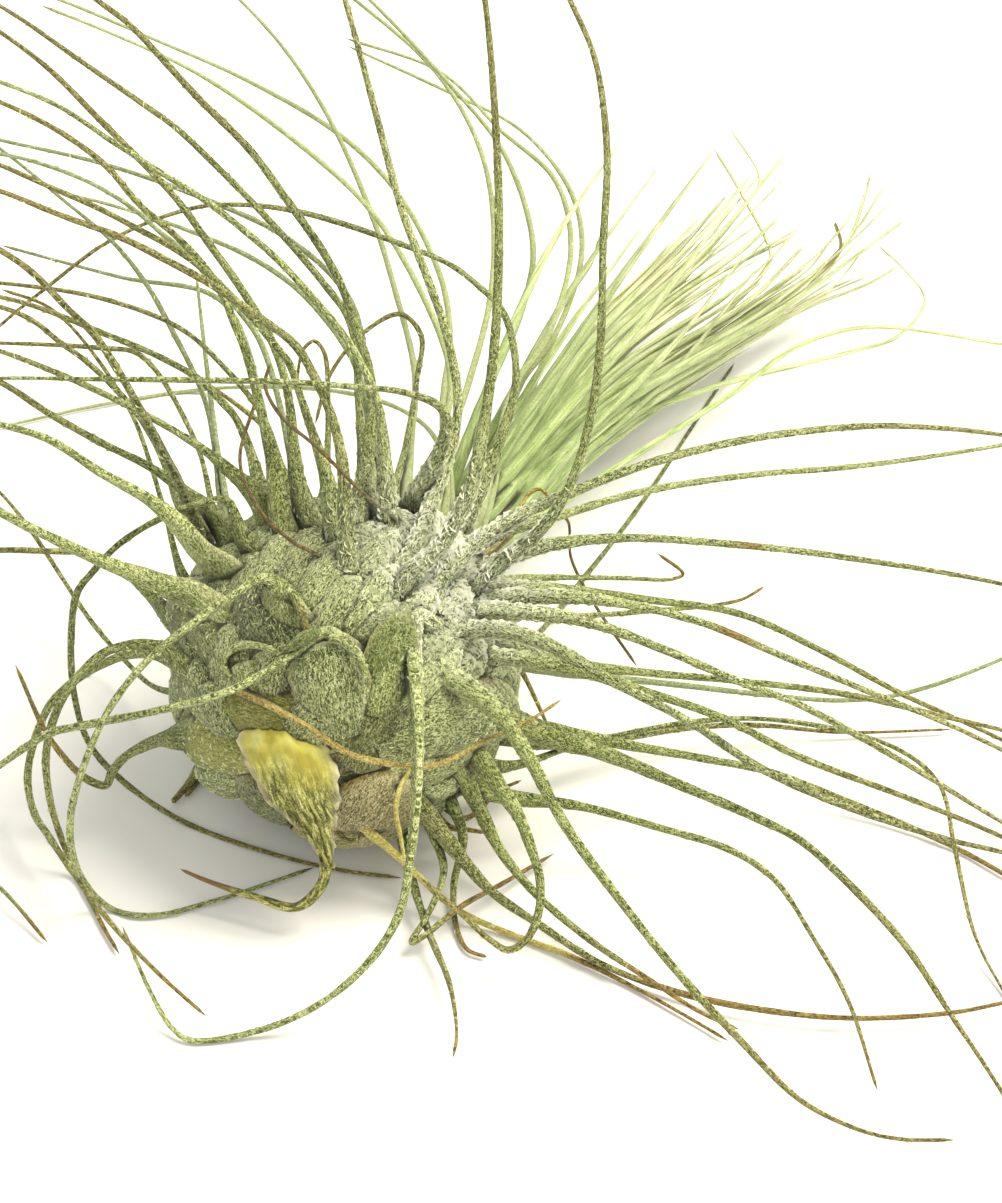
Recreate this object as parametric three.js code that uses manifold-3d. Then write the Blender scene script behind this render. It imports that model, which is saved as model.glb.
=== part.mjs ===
// A thread-leaved air plant lying on its side on a table, in millimetres, +Z up.
// The leaf bases overlap into a bulb round a short stem. Every leaf narrows to a long thread,
// and the threads arch out all round. The origin is the flat spot under the bulb where it rests.
import * as THREE from 'three';
import Module from 'manifold-3d';

const wasm = await Module();
wasm.setup();

// ---- Driving dimensions, in mm ----
const bulbAlong = 15.0; // half the bulb's size along the stem
const bulbAcross = 14.3; // half the bulb's size across the stem
const bulbHeight = 13.8; // height of the bulb's centre above the table
const stemAxis = new THREE.Vector3(0.48, 0.874, 0.074).normalize(); // from the root end to the crown
const leastBlade = 0.68; // no blade is narrower or thinner than this
const tableGap = 0.45; // how far the middle of a thread that lies down is above the table
const leafGap = 0.3; // clear space between two separate leaves
const tipLength = 2.0; // the last taper of a thread, to its point
const oldBaseCount = 26; // short old leaf bases that cover the bulb
const innerThreadCount = 9; // young threads that fill the heart beside the traced ones
const goldenAngle = 137.508; // degrees from one leaf to the next round the stem

// ---- The fixed line of sight that the leaf routes are traced along ----
// A route is a row of picture places, x right and y down in a 1002 by 1203 frame, with a distance
// in mm behind the plane that faces the eye through the bulb's centre. Nearer places are below 0.
const frameWidth = 1002;
const frameHeight = 1203;
const eyeTilt = THREE.MathUtils.degToRad(40); // how far the eye looks down
const eyeDistance = 360; // mm from the eye to the bulb's plane
const placesPerMm = 11; // picture places to a mm in that plane
const bulbPlace = [345, 665]; // where the bulb's centre is seen

const bulbCentre = new THREE.Vector3(0, 0, bulbHeight);
const sightRight = new THREE.Vector3(1, 0, 0);
const sightUp = new THREE.Vector3(0, Math.sin(eyeTilt), Math.cos(eyeTilt));
const sightAway = new THREE.Vector3(0, Math.cos(eyeTilt), -Math.sin(eyeTilt));
const lensPlaces = placesPerMm * eyeDistance;

function sightLine(x, y) {
  const line = sightAway.clone();
  line.addScaledVector(sightRight, (x - frameWidth / 2) / lensPlaces);
  return line.addScaledVector(sightUp, (frameHeight / 2 - y) / lensPlaces);
}

const eye = bulbCentre.clone().addScaledVector(sightLine(...bulbPlace), -eyeDistance);

// A place seen at x, y and so far behind the bulb's plane. One that would be under the table is
// drawn along the line of sight until it lies on the table.
function seenPoint(x, y, behind) {
  const line = sightLine(x, y);
  const point = eye.clone().addScaledVector(line, eyeDistance + behind);
  if (point.z >= tableGap) return point;
  return eye.clone().addScaledVector(line, (tableGap - eye.z) / line.z);
}

// How far behind the bulb's plane the near side of the bulb is at x, y, or 0 beside the bulb.
function bulbFaceBehind(x, y) {
  const inBulbs = (vector) => {
    const along = vector.dot(stemAxis);
    const across = vector.clone().addScaledVector(stemAxis, -along);
    return across.divideScalar(bulbAcross).addScaledVector(stemAxis, along / bulbAlong);
  };
  const step = inBulbs(sightLine(x, y));
  const start = inBulbs(eye.clone().sub(bulbCentre));
  const half = step.dot(start);
  const inside = half * half - step.lengthSq() * (start.lengthSq() - 1);
  if (inside <= 0) return 0;
  return (-half - Math.sqrt(inside)) / step.lengthSq() - eyeDistance;
}

// ---- How a leaf is written down ----
const seat = null; // in a list of distances: on the near side of the bulb

// A leaf: its name, its colour, the picture places from root to tip, the distances behind the
// bulb's plane at even stretches of that route, and its widths.
function leaf(name, tone, trace, behind, widths) {
  return { name, tone, trace, behind, widths };
}

// A leaf that is in one piece with its neighbours needs no name or colour of its own.
function grown(trace, behind, widths) {
  return { trace, behind, widths };
}

// Pairs of distance from the root and width, for a leaf base that narrows to a thread.
function slender(base, run, blade, tip) {
  const shoulder = [run * 0.3, base * 0.8, run * 0.66, base * 0.28 + blade];
  return [0, base, ...shoulder, run, blade * 1.4, run * 1.4, blade * 1.06, 1e3, tip];
}

// ---- Leaves that stand clear of the rest, each a piece of its own ----
const largeLeaves = [
  leaf('front_loop_1', 'pale', [288,645, 280,610, 276,584, 262,578, 240,590, 190,625, 145,662,
    108,710, 82,770, 70,825, 80,875, 110,908, 135,915, 165,914, 200,905, 240,893, 315,867],
    [seat, -17.5, -21, -20, -14, -4, 3, 3],
    [0, 4.6, 2.5, 5.6, 4.4, 4.6, 6.2, 1.7, 9, 1.2, 1e3, 0.7]),
  leaf('front_loop_2', 'pale', [338,688, 334,655, 325,635, 308,642, 290,655, 260,675, 225,692,
    150,712, 75,727, 50,733, 0,765, -45,800, -60,835, -35,865, 0,888, 48,943],
    [seat, -18, -20, -18, -14, -8, -4, -8], [0, 5, 2.4, 6, 4, 4.8, 5.8, 1.9, 9, 1.25, 1e3, 0.7]),
  leaf('front_drop', 'pale', [446,655, 432,632, 416,619, 411,642, 415,700, 417,760, 414,820,
    408,870, 398,915, 370,960, 320,1003, 260,1030, 190,1040, 172,1028, 152,995, 130,945, 122,925],
    [seat, -16, -19, -20, -19, -18, -17, -17, -10],
    [0, 3.6, 5, 3, 10, 2.8, 13, 2.4, 17, 1.9, 22, 1.5, 1e3, 0.6]),
  leaf('torn_sheath', 'torn', [262,722, 276,752, 298,792, 315,826, 325,858, 322,884, 297,907,
    255,897, 205,880, 180,869],
    [seat, -14.5, -14, -11.5, -9.5, -8.5, -7.5, -7],
    [0, 5, 2.5, 8.2, 6, 8.4, 9, 5.8, 12, 2.8, 15, 1.7, 19, 1.4, 1e3, 0.8]),
  leaf('left_loop_1', 'green', [226,692, 200,681, 160,647, 110,650, 75,680, 55,715, 46,755, 50,800,
    62,840, 75,870, 90,900, 105,930, 120,955],
    [seat, -9, -9, -6, -2, -4], slender(5.4, 8, 1.1, 0.7)),
  leaf('left_loop_2', 'green', [212,668, 190,664, 145,652, 95,668, 50,705, 28,770, 33,810, 50,838,
    68,865, 110,922, 160,975, 207,1017],
    [seat, -4, 0, -1, -9, -15, -16], slender(4.4, 8, 1.05, 0.7)),
  leaf('upper_loop', 'green', [262,566, 242,535, 226,500, 208,501, 165,516, 120,543, 90,575,
    77,593, 71,640, 75,700, 90,745, 125,783, 180,820, 260,850, 340,870, 402,878],
    [seat, -12, -11, -8, -2, 4, 6, 6, 6], slender(5, 6, 0.95, 0.7)),
  leaf('torn_left_leaf', 'green', [250,744, 222,742, 190,739, 160,740, 140,748, 125,757, 112,772,
    106,785, 85,778, 58,750, 42,725, 22,680, 15,664],
    [seat, -6, -2, -1, -3, -4, -6],
    [0, 4.8, 2.5, 5.4, 5.5, 5.6, 8.2, 4, 10.1, 2.6, 11.7, 1.7, 15, 1.2, 1e3, 0.66]),
  leaf('folded_leaf', 'pale', [402,520, 425,480, 442,445, 447,420, 438,405, 400,391, 350,386,
    300,382, 200,380, 100,379, 0,378, -90,384],
    [seat, -9, -14, -15.5, -17, -17, -16], slender(3.2, 12, 0.95, 0.65)),
  leaf('left_bright_leaf', 'pale', [236,590, 215,566, 197,550, 180,525, 150,500, 100,472, 50,440,
    0,424, -90,402, -160,405],
    [seat, -13, -15, -17, -16, -14], slender(5.6, 13, 1.1, 0.65)),
  leaf('left_broad_leaf', 'pale', [240,640, 215,618, 195,600, 150,580, 100,560, 50,537, 0,512,
    -80,462, -150,440],
    [seat, -11, -13, -15, -16, -14], slender(5.4, 14, 1.25, 0.65)),
  leaf('left_flat_leaf', 'green', [205,640, 178,625, 155,600, 125,572, 85,553, 50,551, 0,550,
    -80,556, -130,575],
    [seat, 1, 1, -1, -3, -3], slender(4.6, 12, 1.0, 0.65)),
  leaf('left_arch_1', 'olive', [215,560, 197,525, 190,507, 177,477, 160,445, 140,407, 115,365,
    95,335, 65,305, 32,272, 0,250, -70,215, -140,215],
    [seat, -12, -13, -15, -19, -24], slender(5, 10, 1.3, 0.7)),
  leaf('left_arch_2', 'green', [238,560, 222,530, 210,512, 190,495, 150,467, 100,442, 50,414,
    0,382, -90,345, -150,345],
    [seat, -1, -2, -3, -4, -6], slender(4.4, 10, 1.0, 0.65)),
  leaf('left_arch_3', 'green', [275,540, 257,497, 225,467, 200,447, 150,417, 100,392, 50,370,
    0,351, -90,325],
    [seat, -7, -4, -1, 2, 8], slender(4.2, 10, 0.9, 0.65)),
  leaf('upper_left_1', 'green', [355,545, 360,500, 368,450, 372,400, 369,368, 357,332, 342,287,
    322,250, 287,200, 250,150, 200,100, 165,62, 130,25, 97,0, 40,-45, -40,-80],
    [seat, -3, 0, 1, 3, 6, 18], slender(4.4, 11, 1.15, 0.7)),
  leaf('upper_left_2', 'green', [372,535, 365,480, 360,420, 350,322, 325,285, 287,240, 250,200,
    200,150, 175,127, 140,102, 75,57, 30,25, 0,6, -80,-40],
    [seat, 1, 6, 10, 14, 18, 28], slender(3.6, 10, 1.0, 0.65)),
  leaf('upper_left_3', 'pale', [388,540, 386,495, 384,450, 377,400, 360,362, 345,337, 312,297,
    280,262, 240,227, 200,197, 160,172, 110,140, 60,107, 0,82, -80,60],
    [seat, -10, -11, -10, -9, -9, -16], slender(4, 10, 0.95, 0.65)),
  leaf('upper_left_4', 'green', [318,545, 305,510, 297,480, 293,440, 289,400, 283,372, 270,337,
    240,287, 210,245, 175,197, 140,160, 100,120, 50,70, 0,32, -70,-10],
    [seat, -5, -3, -1, 1, 4, 12], slender(5, 10, 1.1, 0.7)),
  leaf('upper_left_5', 'green', [292,548, 280,515, 276,480, 270,450, 262,415, 257,395, 245,350,
    235,325, 225,300, 205,267, 175,235, 140,205, 105,165, 60,132, 0,102, -80,75],
    [seat, -9, -8, -7, -8, -9, -14], slender(4.6, 10, 1.05, 0.7)),
  leaf('upper_left_6', 'green', [340,560, 333,520, 328,485, 320,455, 310,425, 300,395, 290,365,
    275,345, 245,310, 212,277, 180,252, 140,230, 100,209, 50,187, 0,165, -90,130],
    [seat, -11, -11, -11, -12, -14, -22], slender(4.4, 10, 0.95, 0.65)),
  leaf('upper_left_7', 'olive', [352,590, 348,560, 346,512, 342,460, 337,435, 330,412, 317,382,
    295,345, 255,315, 212,285, 170,262, 120,237, 60,215, 0,191, -90,165],
    [seat, -14.5, -13, -14, -16, -19, -26], slender(4.4, 10, 1.15, 0.7)),
  leaf('upper_left_8', 'green', [455,548, 478,495, 498,445, 513,400, 516,370, 510,330, 500,307,
    485,292, 450,265, 400,244, 350,226, 300,212, 260,206, 230,205, 200,207, 150,222, 100,247,
    50,285, 0,326, -60,390],
    [seat, 0, 7, 14, 19, 22, 24, 26], slender(2.8, 12, 0.95, 0.65)),
  leaf('left_arch_4', 'green', [290,530, 262,490, 250,450, 235,417, 220,400, 200,380, 160,357,
    100,332, 37,307, 0,297, -90,285],
    [seat, 1, 4, 7, 9, 10], slender(4, 10, 0.95, 0.65)),
  leaf('left_arch_5', 'green', [205,545, 180,497, 165,460, 140,417, 107,380, 85,360, 60,342,
    35,322, 0,307, -80,300],
    [seat, 3, 4, 4, 5, 8], slender(3.6, 10, 0.95, 0.65)),
  leaf('upright_1', 'green', [388,612, 405,580, 440,545, 470,490, 483,430, 494,350, 499,250,
    497,150, 485,0, 468,-90, 430,-170],
    [seat, -13.5, -13, -13, -13, -14, -18], slender(3.4, 16, 1.2, 0.7)),
  leaf('upright_2', 'silver', [388,580, 412,550, 432,500, 452,445, 458,400, 447,335, 430,285,
    402,210, 375,110, 345,0, 318,-80, 270,-150],
    [seat, -4, -3, -3, -4, -6, -14], slender(3.8, 13, 1.15, 0.7)),
  leaf('upright_3', 'green', [462,600, 490,572, 518,550, 545,525, 570,485, 590,420, 600,350,
    603,250, 607,150, 595,60, 570,0, 535,-70, 470,-130],
    [seat, -9.5, -9, -6, -1, 6, 16], slender(3, 10, 1.1, 0.7)),
  leaf('right_arch_1', 'silver', [425,598, 465,552, 510,520, 570,493, 650,463, 750,439, 850,427,
    900,426, 1002,435, 1100,460],
    [seat, -7.5, -5, -3, -2, 0], slender(3.6, 13, 1.15, 0.65)),
  leaf('right_arch_2', 'pale', [452,560, 500,533, 570,512, 650,490, 760,474, 850,467, 1002,445,
    1090,425],
    [seat, 2, 8, 12, 14, 16], slender(2.6, 12, 0.95, 0.65)),
  leaf('right_arch_3', 'silver', [468,575, 500,561, 540,547, 620,538, 740,545, 850,558, 1002,584,
    1100,612],
    [seat, -1, 1, 3, 3, 3], slender(2.8, 12, 1, 0.65)),
  leaf('right_arch_4', 'silver', [440,632, 500,630, 545,643, 610,680, 690,722, 760,768, 850,808,
    950,840, 1002,852, 1100,880],
    [seat, -12.5, -12, -12, -10, -8], slender(3.2, 13, 1.15, 0.7)),
  leaf('right_arch_5', 'silver', [458,612, 500,611, 580,620, 660,648, 740,682, 800,705, 900,760,
    1002,822, 1090,870],
    [seat, -10, -8.5, -7, -5, -3], slender(3.2, 12, 1.05, 0.65)),
  leaf('right_arch_6', 'silver', [474,602, 520,597, 600,600, 700,622, 780,655, 860,688, 950,725,
    1002,750, 1100,800],
    [seat, -6, -3.5, -1, 1, 2], slender(3, 12, 1, 0.65)),
  leaf('right_arch_7', 'green', [476,590, 520,588, 570,591, 650,600, 740,614, 820,650, 900,693,
    1002,740, 1090,790],
    [seat, 0, 5, 9, 10, 10], slender(2.8, 12, 0.95, 0.65)),
  leaf('right_arch_8', 'green', [470,655, 520,659, 570,668, 640,690, 720,717, 800,757, 900,795,
    1002,837, 1090,885],
    [seat, -8.5, -7, -6, -4, -2], slender(3, 12, 1.05, 0.65)),
  leaf('right_arch_9', 'green', [480,642, 530,654, 580,665, 650,673, 750,682, 850,695, 950,718,
    1002,730, 1100,760],
    [seat, -3, 0, 3, 5, 6], slender(3, 12, 0.95, 0.65)),
  leaf('right_low_1', 'green', [424,668, 452,680, 480,698, 502,718, 530,760, 565,825, 620,900,
    680,975, 740,1040, 800,1100, 860,1130, 900,1139, 957,1140],
    [seat, -14.5, -17, -19, -21, -24, -27, -29], slender(4.4, 13, 1.25, 0.66)),
  leaf('right_low_2', 'green', [472,706, 510,724, 550,738, 600,752, 680,785, 750,815, 800,840,
    850,885, 905,945, 950,1013, 1002,1092, 1045,1170],
    [seat, -8, -9, -11, -14, -18, -24, -29], slender(5, 15, 1.2, 0.66)),
  leaf('right_low_3', 'green', [486,700, 520,722, 600,740, 700,758, 770,772, 850,802, 950,845,
    1002,873, 1100,935],
    [seat, -1, 3, 4, 3, 1], slender(4, 14, 1.0, 0.65)),
  leaf('right_low_4', 'green', [448,770, 475,786, 510,797, 580,806, 660,828, 730,850, 775,880,
    815,940, 848,1000, 878,1092],
    [seat, -4.5, -4, -4, -7, -12, -18, -25], slender(4, 12, 0.95, 0.66)),
  leaf('right_low_5', 'olive', [400,785, 425,812, 455,850, 490,890, 540,925, 600,963, 670,990,
    750,1008, 850,1018, 950,1013, 1002,1003, 1080,985],
    [seat, -8, -10, -13, -16, -17, -16, -15], slender(4, 12, 0.95, 0.66)),
  leaf('right_low_6', 'green', [440,748, 462,775, 480,810, 500,850, 535,893, 590,940, 650,980,
    700,1012, 740,1030],
    [seat, -5, -5.5, -7.5, -13.6, -18.6, -17.5], slender(4, 12, 0.95, 0.66)),
  leaf('low_loop', 'green', [462,738, 482,762, 500,788, 518,815, 530,845, 540,880, 538,915,
    526,940, 508,950, 490,940, 465,918, 440,895, 415,873],
    [seat, -9, -10, -12, -13.5, -13.5, -12.5], slender(4.2, 10, 1.1, 0.7)),
  leaf('yellow_low_leaf', 'yellow', [322,780, 342,808, 385,845, 402,860, 455,908, 500,930, 570,956,
    640,990, 700,1024, 730,1042],
    [seat, -8, -7, -6, -9, -13, -17], slender(3, 8, 0.9, 0.66)),
];

// ---- Far, inner and under leaves, in one piece with the bulb ----
const bulbLeaves = [
  // Far leaves that rise behind the crown
  grown([445,520, 450,440, 468,385, 490,300, 494,230, 485,165, 462,110, 425,60, 355,0, 300,-40],
    [6, 20, 32, 38, 40, 40], slender(3, 10, 0.95, 0.66)),
  grown([460,530, 485,400, 522,310, 533,245, 505,155, 450,85, 370,0, 320,-45],
    [4, 18, 28, 34, 38, 40], slender(3, 10, 0.95, 0.66)),
  grown([470,530, 515,385, 548,335, 571,245, 555,180, 500,130, 440,72, 345,38],
    [4, 22, 34, 42, 46], slender(3, 10, 0.95, 0.66)),
  grown([475,535, 520,385, 555,335, 582,250, 570,190, 520,130, 450,93, 345,45],
    [6, 28, 40, 48, 52], slender(3, 10, 0.95, 0.66)),
  grown([480,540, 530,400, 560,310, 592,262, 600,235], [8, 32, 46, 50], slender(3, 10, 0.9, 0.66)),
  grown([400,520, 412,430, 415,375, 395,290, 370,210, 330,120, 285,50, 240,0, 200,-35],
    [2, 16, 30, 38, 44, 46], slender(3, 10, 0.9, 0.66)),
  grown([430,520, 445,430, 450,370, 420,290, 370,210, 300,145, 200,75, 110,33, 40,5],
    [4, 16, 26, 34, 38, 40], slender(3, 10, 0.9, 0.66)),
  grown([440,525, 443,400, 450,335, 440,275, 395,190, 340,135, 250,82, 160,42, 60,0, 0,-20],
    [4, 24, 36, 44, 48, 50], slender(3, 10, 0.9, 0.66)),
  grown([300,520, 290,450, 262,345, 245,318, 222,292, 185,252, 160,232, 135,210, 95,185, 45,165,
    0,154, -70,150], [2, 10, 15, 17, 18, 18], slender(3.4, 10, 0.85, 0.66)),
  grown([378,520, 370,440, 362,385, 350,355, 330,325, 295,287, 250,257, 200,235, 150,217, 100,202,
    60,193], [2, 14, 20, 24, 26], slender(3.2, 10, 0.85, 0.66)),
  // Short leaves that bend over near the crown
  grown([396,545, 395,490, 407,440, 417,380, 421,335, 400,314, 361,335, 330,375, 315,425],
    [-4, 7, 12, 14, 14, 13], slender(4, 10, 0.8, 0.66)),
  grown([326,540, 326,490, 328,420, 324,352, 314,341, 303,350, 296,385],
    [-3, 5, 8, 9], slender(4, 10, 0.7, 0.66)),
  grown([500,540, 518,514, 528,495, 540,489, 550,498], [4, 6, 8, 8], slender(2, 5, 0.7, 0.66)),
  // Inner leaves to the upper left
  grown([232,540, 226,497, 218,450, 206,360, 196,270], [1, 9, 14, 18], slender(3.6, 9, 0.8, 0.66)),
  grown([232,540, 205,400, 172,330, 145,282, 113,242, 60,197, 15,160, -40,120],
    [2, 14, 18, 20, 22], slender(3.4, 9, 0.8, 0.66)),
  grown([300,535, 285,480, 262,415, 225,368, 180,328, 100,298, 0,283, -60,280],
    [0, 9, 13, 15, 16], slender(3.6, 9, 0.8, 0.66)),
  grown([275,530, 262,400, 220,300, 120,277, 0,245], [4, 18, 24, 26], slender(3.4, 9, 0.75, 0.66)),
  grown([225,545, 195,440, 140,355, 100,348, 0,343, -70,342],
    [3, 12, 15, 16], slender(3.4, 9, 0.75, 0.66)),
  grown([212,600, 187,582, 165,512, 150,462, 135,420, 107,372, 70,325, 45,305, 0,289],
    [4, 8, 10, 12, 14], slender(3.4, 9, 0.75, 0.66)),
  grown([300,520, 285,480, 275,450, 262,425, 240,407, 205,382],
    [1, 5, 8], slender(3.6, 9, 0.8, 0.66)),
  grown([385,510, 370,400, 350,300, 290,240, 200,197, 100,163, 0,140, -60,125],
    [3, 16, 22, 26, 28], slender(3, 9, 0.85, 0.66)),
  // Leaves low on the far side
  grown([445,535, 436,440, 385,403, 300,388, 200,390, 100,405, 0,427, -70,440],
    [8, 34, 54, 60, 60], slender(3, 10, 0.8, 0.66)),
  grown([490,655, 530,640, 590,570, 640,505, 690,430, 735,362],
    [4, 24, 36, 44, 52, 60], slender(3.4, 8, 0.9, 0.66)),
  grown([490,640, 522,672, 547,724], [2, 14, 18], slender(3.4, 6, 0.85, 0.7)),
  grown([470,590, 520,579, 620,578, 672,579, 683,574, 657,553],
    [2, 10, 14, 15], slender(3, 10, 0.7, 0.66)),
  grown([480,610, 560,616, 650,611, 740,600, 765,586],
    [2, 12, 17, 20], slender(3, 10, 0.75, 0.66)),
  grown([490,655, 560,671, 680,685, 800,698, 850,700, 910,692, 1002,659, 1080,620],
    [3, 9, 13, 15, 15], slender(3.4, 12, 0.85, 0.66)),
  grown([455,750, 500,766, 600,738, 740,718, 830,728, 900,750, 940,785, 955,850, 975,935, 1002,988,
    1030,1030], [-2, 6, 10, 10, 6, -1, -9, -14], slender(3.4, 12, 0.8, 0.66)),
  grown([480,730, 540,744, 600,742, 690,728, 755,725, 840,732, 955,729],
    [1, 8, 12, 13], slender(3.2, 12, 0.75, 0.66)),
  // Under the bulb, to the left
  grown([232,745, 205,760, 190,782, 172,803], [2, 6, 9], [0, 3, 4, 2, 6, 1.4, 1e3, 1]),
  grown([240,755, 212,766, 200,778, 185,797], [5, 9, 12], [0, 3, 4, 1.6, 1e3, 0.9]),
  grown([215,665, 178,690, 155,687, 125,660, 92,622, 62,577, 32,532, 0,492, -60,440],
    [4, 16, 20, 24, 28], slender(3.4, 8, 0.8, 0.66)),
  grown([326,806, 334,826, 346,840, 359,838, 366,822],
    [-6, -8.5, -9, -8.5], slender(1.6, 5, 0.7, 0.66)),
  // Under the bulb, to the right
  grown([436,775, 450,800, 463,835, 454,885, 456,925, 468,950, 487,957],
    [-4, -6, -5, -4, -6, -8], slender(3.6, 8, 0.95, 0.7)),
  grown([420,790, 432,830, 444,870, 428,915, 412,942, 425,935, 460,907, 500,885, 555,853],
    [-4, -7, -8, -10, -8, -4, 0], slender(3.6, 8, 0.9, 0.66)),
  grown([398,800, 410,870, 428,930, 450,985, 457,1035, 453,1058],
    [-3, -5, -9, -15, -21], slender(3.8, 9, 0.95, 0.7)),
  grown([425,800, 448,826, 470,830, 488,833], [-2, -2, -1], slender(3, 4, 0.9, 0.7)),
  grown([440,800, 465,818, 500,790, 522,780], [-1, 0, 1], slender(3, 5, 0.7, 0.66)),
];

// ---- Young leaves of the heart ----
const heartLeaves = [
  grown([462,520, 550,380, 650,270, 700,218], [14, 36, 50, 58], slender(2.4, 20, 1.5, 0.8)),
  grown([478,510, 600,320, 660,270, 727,195], [14, 38, 52, 60], slender(2.4, 20, 1.5, 0.8)),
  grown([470,520, 600,345, 710,245, 785,155], [12, 34, 50, 62], slender(2.4, 20, 1.4, 0.7)),
  grown([490,510, 640,330, 745,205, 760,180, 730,128],
    [12, 34, 50, 58, 60], slender(2.4, 20, 1.3, 0.66)),
  grown([485,520, 600,400, 710,325, 765,270, 771,255, 745,200, 713,147],
    [10, 30, 46, 56, 60], slender(2.4, 20, 1.3, 0.66)),
  grown([488,505, 600,370, 690,290, 795,235], [16, 36, 50, 60], slender(2.4, 20, 1.5, 0.8)),
  grown([492,520, 640,325, 740,252, 782,215], [14, 36, 48, 58], slender(2.4, 20, 1.5, 0.8)),
  grown([480,520, 620,380, 750,300, 805,245], [12, 32, 48, 56], slender(2.6, 24, 1.6, 0.8)),
  grown([475,530, 560,445, 720,340, 840,250, 835,222],
    [10, 28, 44, 56, 60], slender(2.8, 26, 1.6, 0.8)),
  grown([492,530, 620,405, 740,320, 845,245, 872,172],
    [12, 32, 48, 58, 62], slender(2.6, 26, 1.3, 0.66)),
  grown([498,530, 630,400, 760,320, 850,238, 885,185],
    [14, 34, 50, 60, 64], slender(2.6, 26, 1.3, 0.66)),
  grown([495,535, 600,420, 780,310, 905,220], [10, 26, 46, 62], slender(2.6, 24, 1.4, 0.66)),
  grown([495,540, 620,430, 790,315, 870,283, 900,265],
    [12, 30, 46, 58, 64], slender(2.6, 24, 1.4, 0.66)),
  grown([488,545, 600,435, 720,385, 850,352, 900,335, 925,300, 905,270, 878,245],
    [8, 24, 40, 52, 58, 60], slender(2.6, 20, 1.0, 0.66)),
  grown([490,550, 620,465, 740,388, 800,345, 870,327, 1002,344, 1060,352],
    [6, 20, 36, 46, 52, 56], slender(2.6, 20, 0.9, 0.66)),
];

// ---- Dead leaves that lie over the plant ----
const dryLeaves = [
  leaf('dry_strip', 'dry', [236,688, 262,701, 300,722, 350,754, 385,763, 410,766, 440,764, 490,738,
    530,720, 562,699],
    [-14, -17.5, -18.5, -18, -16, -13.5, -12, -12], slender(1.4, 8, 0.8, 0.66)),
  leaf('dry_thread_1', 'brown', [402,530, 395,518, 365,495, 320,450, 280,415, 265,385, 270,364],
    [seat, -16.5, -19.5, -17, -13, -10], slender(1, 4, 0.7, 0.66)),
  leaf('dry_thread_2', 'brown', [330,572, 318,556, 290,540, 258,508, 240,460, 256,400],
    [seat, -15, -15, -13, -12], slender(1, 4, 0.7, 0.66)),
  leaf('dry_thread_3', 'brown', [485,560, 540,516, 567,520, 571,558, 592,600, 638,668],
    [4, 10, 16, 18, 20, 22], slender(1, 4, 0.7, 0.66)),
  leaf('dry_strip_2', 'yellow', [414,762, 402,784, 396,808, 401,838, 407,872],
    [-11.5, -12.5, -13, -12.5, -12], slender(1.2, 4, 0.8, 0.66)),
];

// ---- Middle lines ----
// A traced leaf's middle line, from its root to its tip. One that isn't seated on the near side
// of the bulb starts inside it.
function tracedLine({ trace, behind }) {
  const places = [];
  for (let i = 0; i < trace.length; i += 2) places.push([trace[i], trace[i + 1]]);
  const walked = [0];
  for (let i = 1; i < places.length; i += 1) {
    const step = Math.hypot(places[i][0] - places[i - 1][0], places[i][1] - places[i - 1][1]);
    walked.push(walked[i - 1] + step);
  }
  const stops = behind.map((value) => (value === seat ? bulbFaceBehind(...places[0]) : value));
  const points = places.map(([x, y], i) => {
    const at = (walked[i] / walked.at(-1)) * (stops.length - 1);
    const stop = Math.min(Math.floor(at), stops.length - 2);
    return seenPoint(x, y, THREE.MathUtils.lerp(stops[stop], stops[stop + 1], at - stop));
  });
  if (behind[0] !== seat) points.unshift(rootInside(points[0]));
  return new THREE.CatmullRomCurve3(points, false, 'centripetal');
}

// Where a leaf that heads for that point leaves the inside of the bulb.
const rootDepth = 0.84; // of the bulb's radius
function rootInside(point) {
  const out = point.clone().sub(bulbCentre).normalize();
  return bulbCentre.clone().addScaledVector(out, bulbAcross * rootDepth);
}

const crownUp = new THREE.Vector3(0, 0, 1);
crownUp.addScaledVector(stemAxis, -crownUp.dot(stemAxis)).normalize();
const crownRight = stemAxis.clone().cross(crownUp);

// A direction across the stem, by its angle round it.
function acrossStem(clock) {
  const angle = THREE.MathUtils.degToRad(clock);
  return crownUp.clone().multiplyScalar(Math.cos(angle)).addScaledVector(crownRight, Math.sin(angle));
}

// A place on the bulb: ring is the angle from the root end, clock goes round the stem.
function bulbPoint(clock, ring, lift) {
  const angle = THREE.MathUtils.degToRad(ring);
  const point = acrossStem(clock).multiplyScalar(Math.sin(angle) * (bulbAcross + lift));
  return point.addScaledVector(stemAxis, -Math.cos(angle) * (bulbAlong + lift)).add(bulbCentre);
}

// ---- Solids ----
const leafSection = [[-0.5, -0.08], [-0.27, 0.5], [0.27, 0.5], [0.5, -0.08], [0, -0.45]];
const threadSection = [[-0.5, 0], [0, 0.5], [0.5, 0], [0, -0.5]];
const boldBends = { section: leafSection, turnStep: 0.36, longestStep: 19 };
const fewBends = { section: threadSection, turnStep: 0.5, longestStep: 26 };

function widthAt(widths, distance, length) {
  for (let i = 2; i < widths.length; i += 2) {
    const begin = Math.min(widths[i - 2], length);
    const end = Math.min(widths[i], length);
    if (distance <= end) {
      const share = (distance - begin) / Math.max(end - begin, 1e-6);
      return THREE.MathUtils.lerp(widths[i - 1], widths[i + 1], share);
    }
  }
  return widths.at(-1);
}

// The outer face of a leaf turns away from the bulb and from the crown.
function outerSide(point, forward) {
  const side = point.clone().sub(bulbCentre).normalize().sub(stemAxis);
  return side.addScaledVector(forward, -side.dot(forward)).normalize();
}

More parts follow.
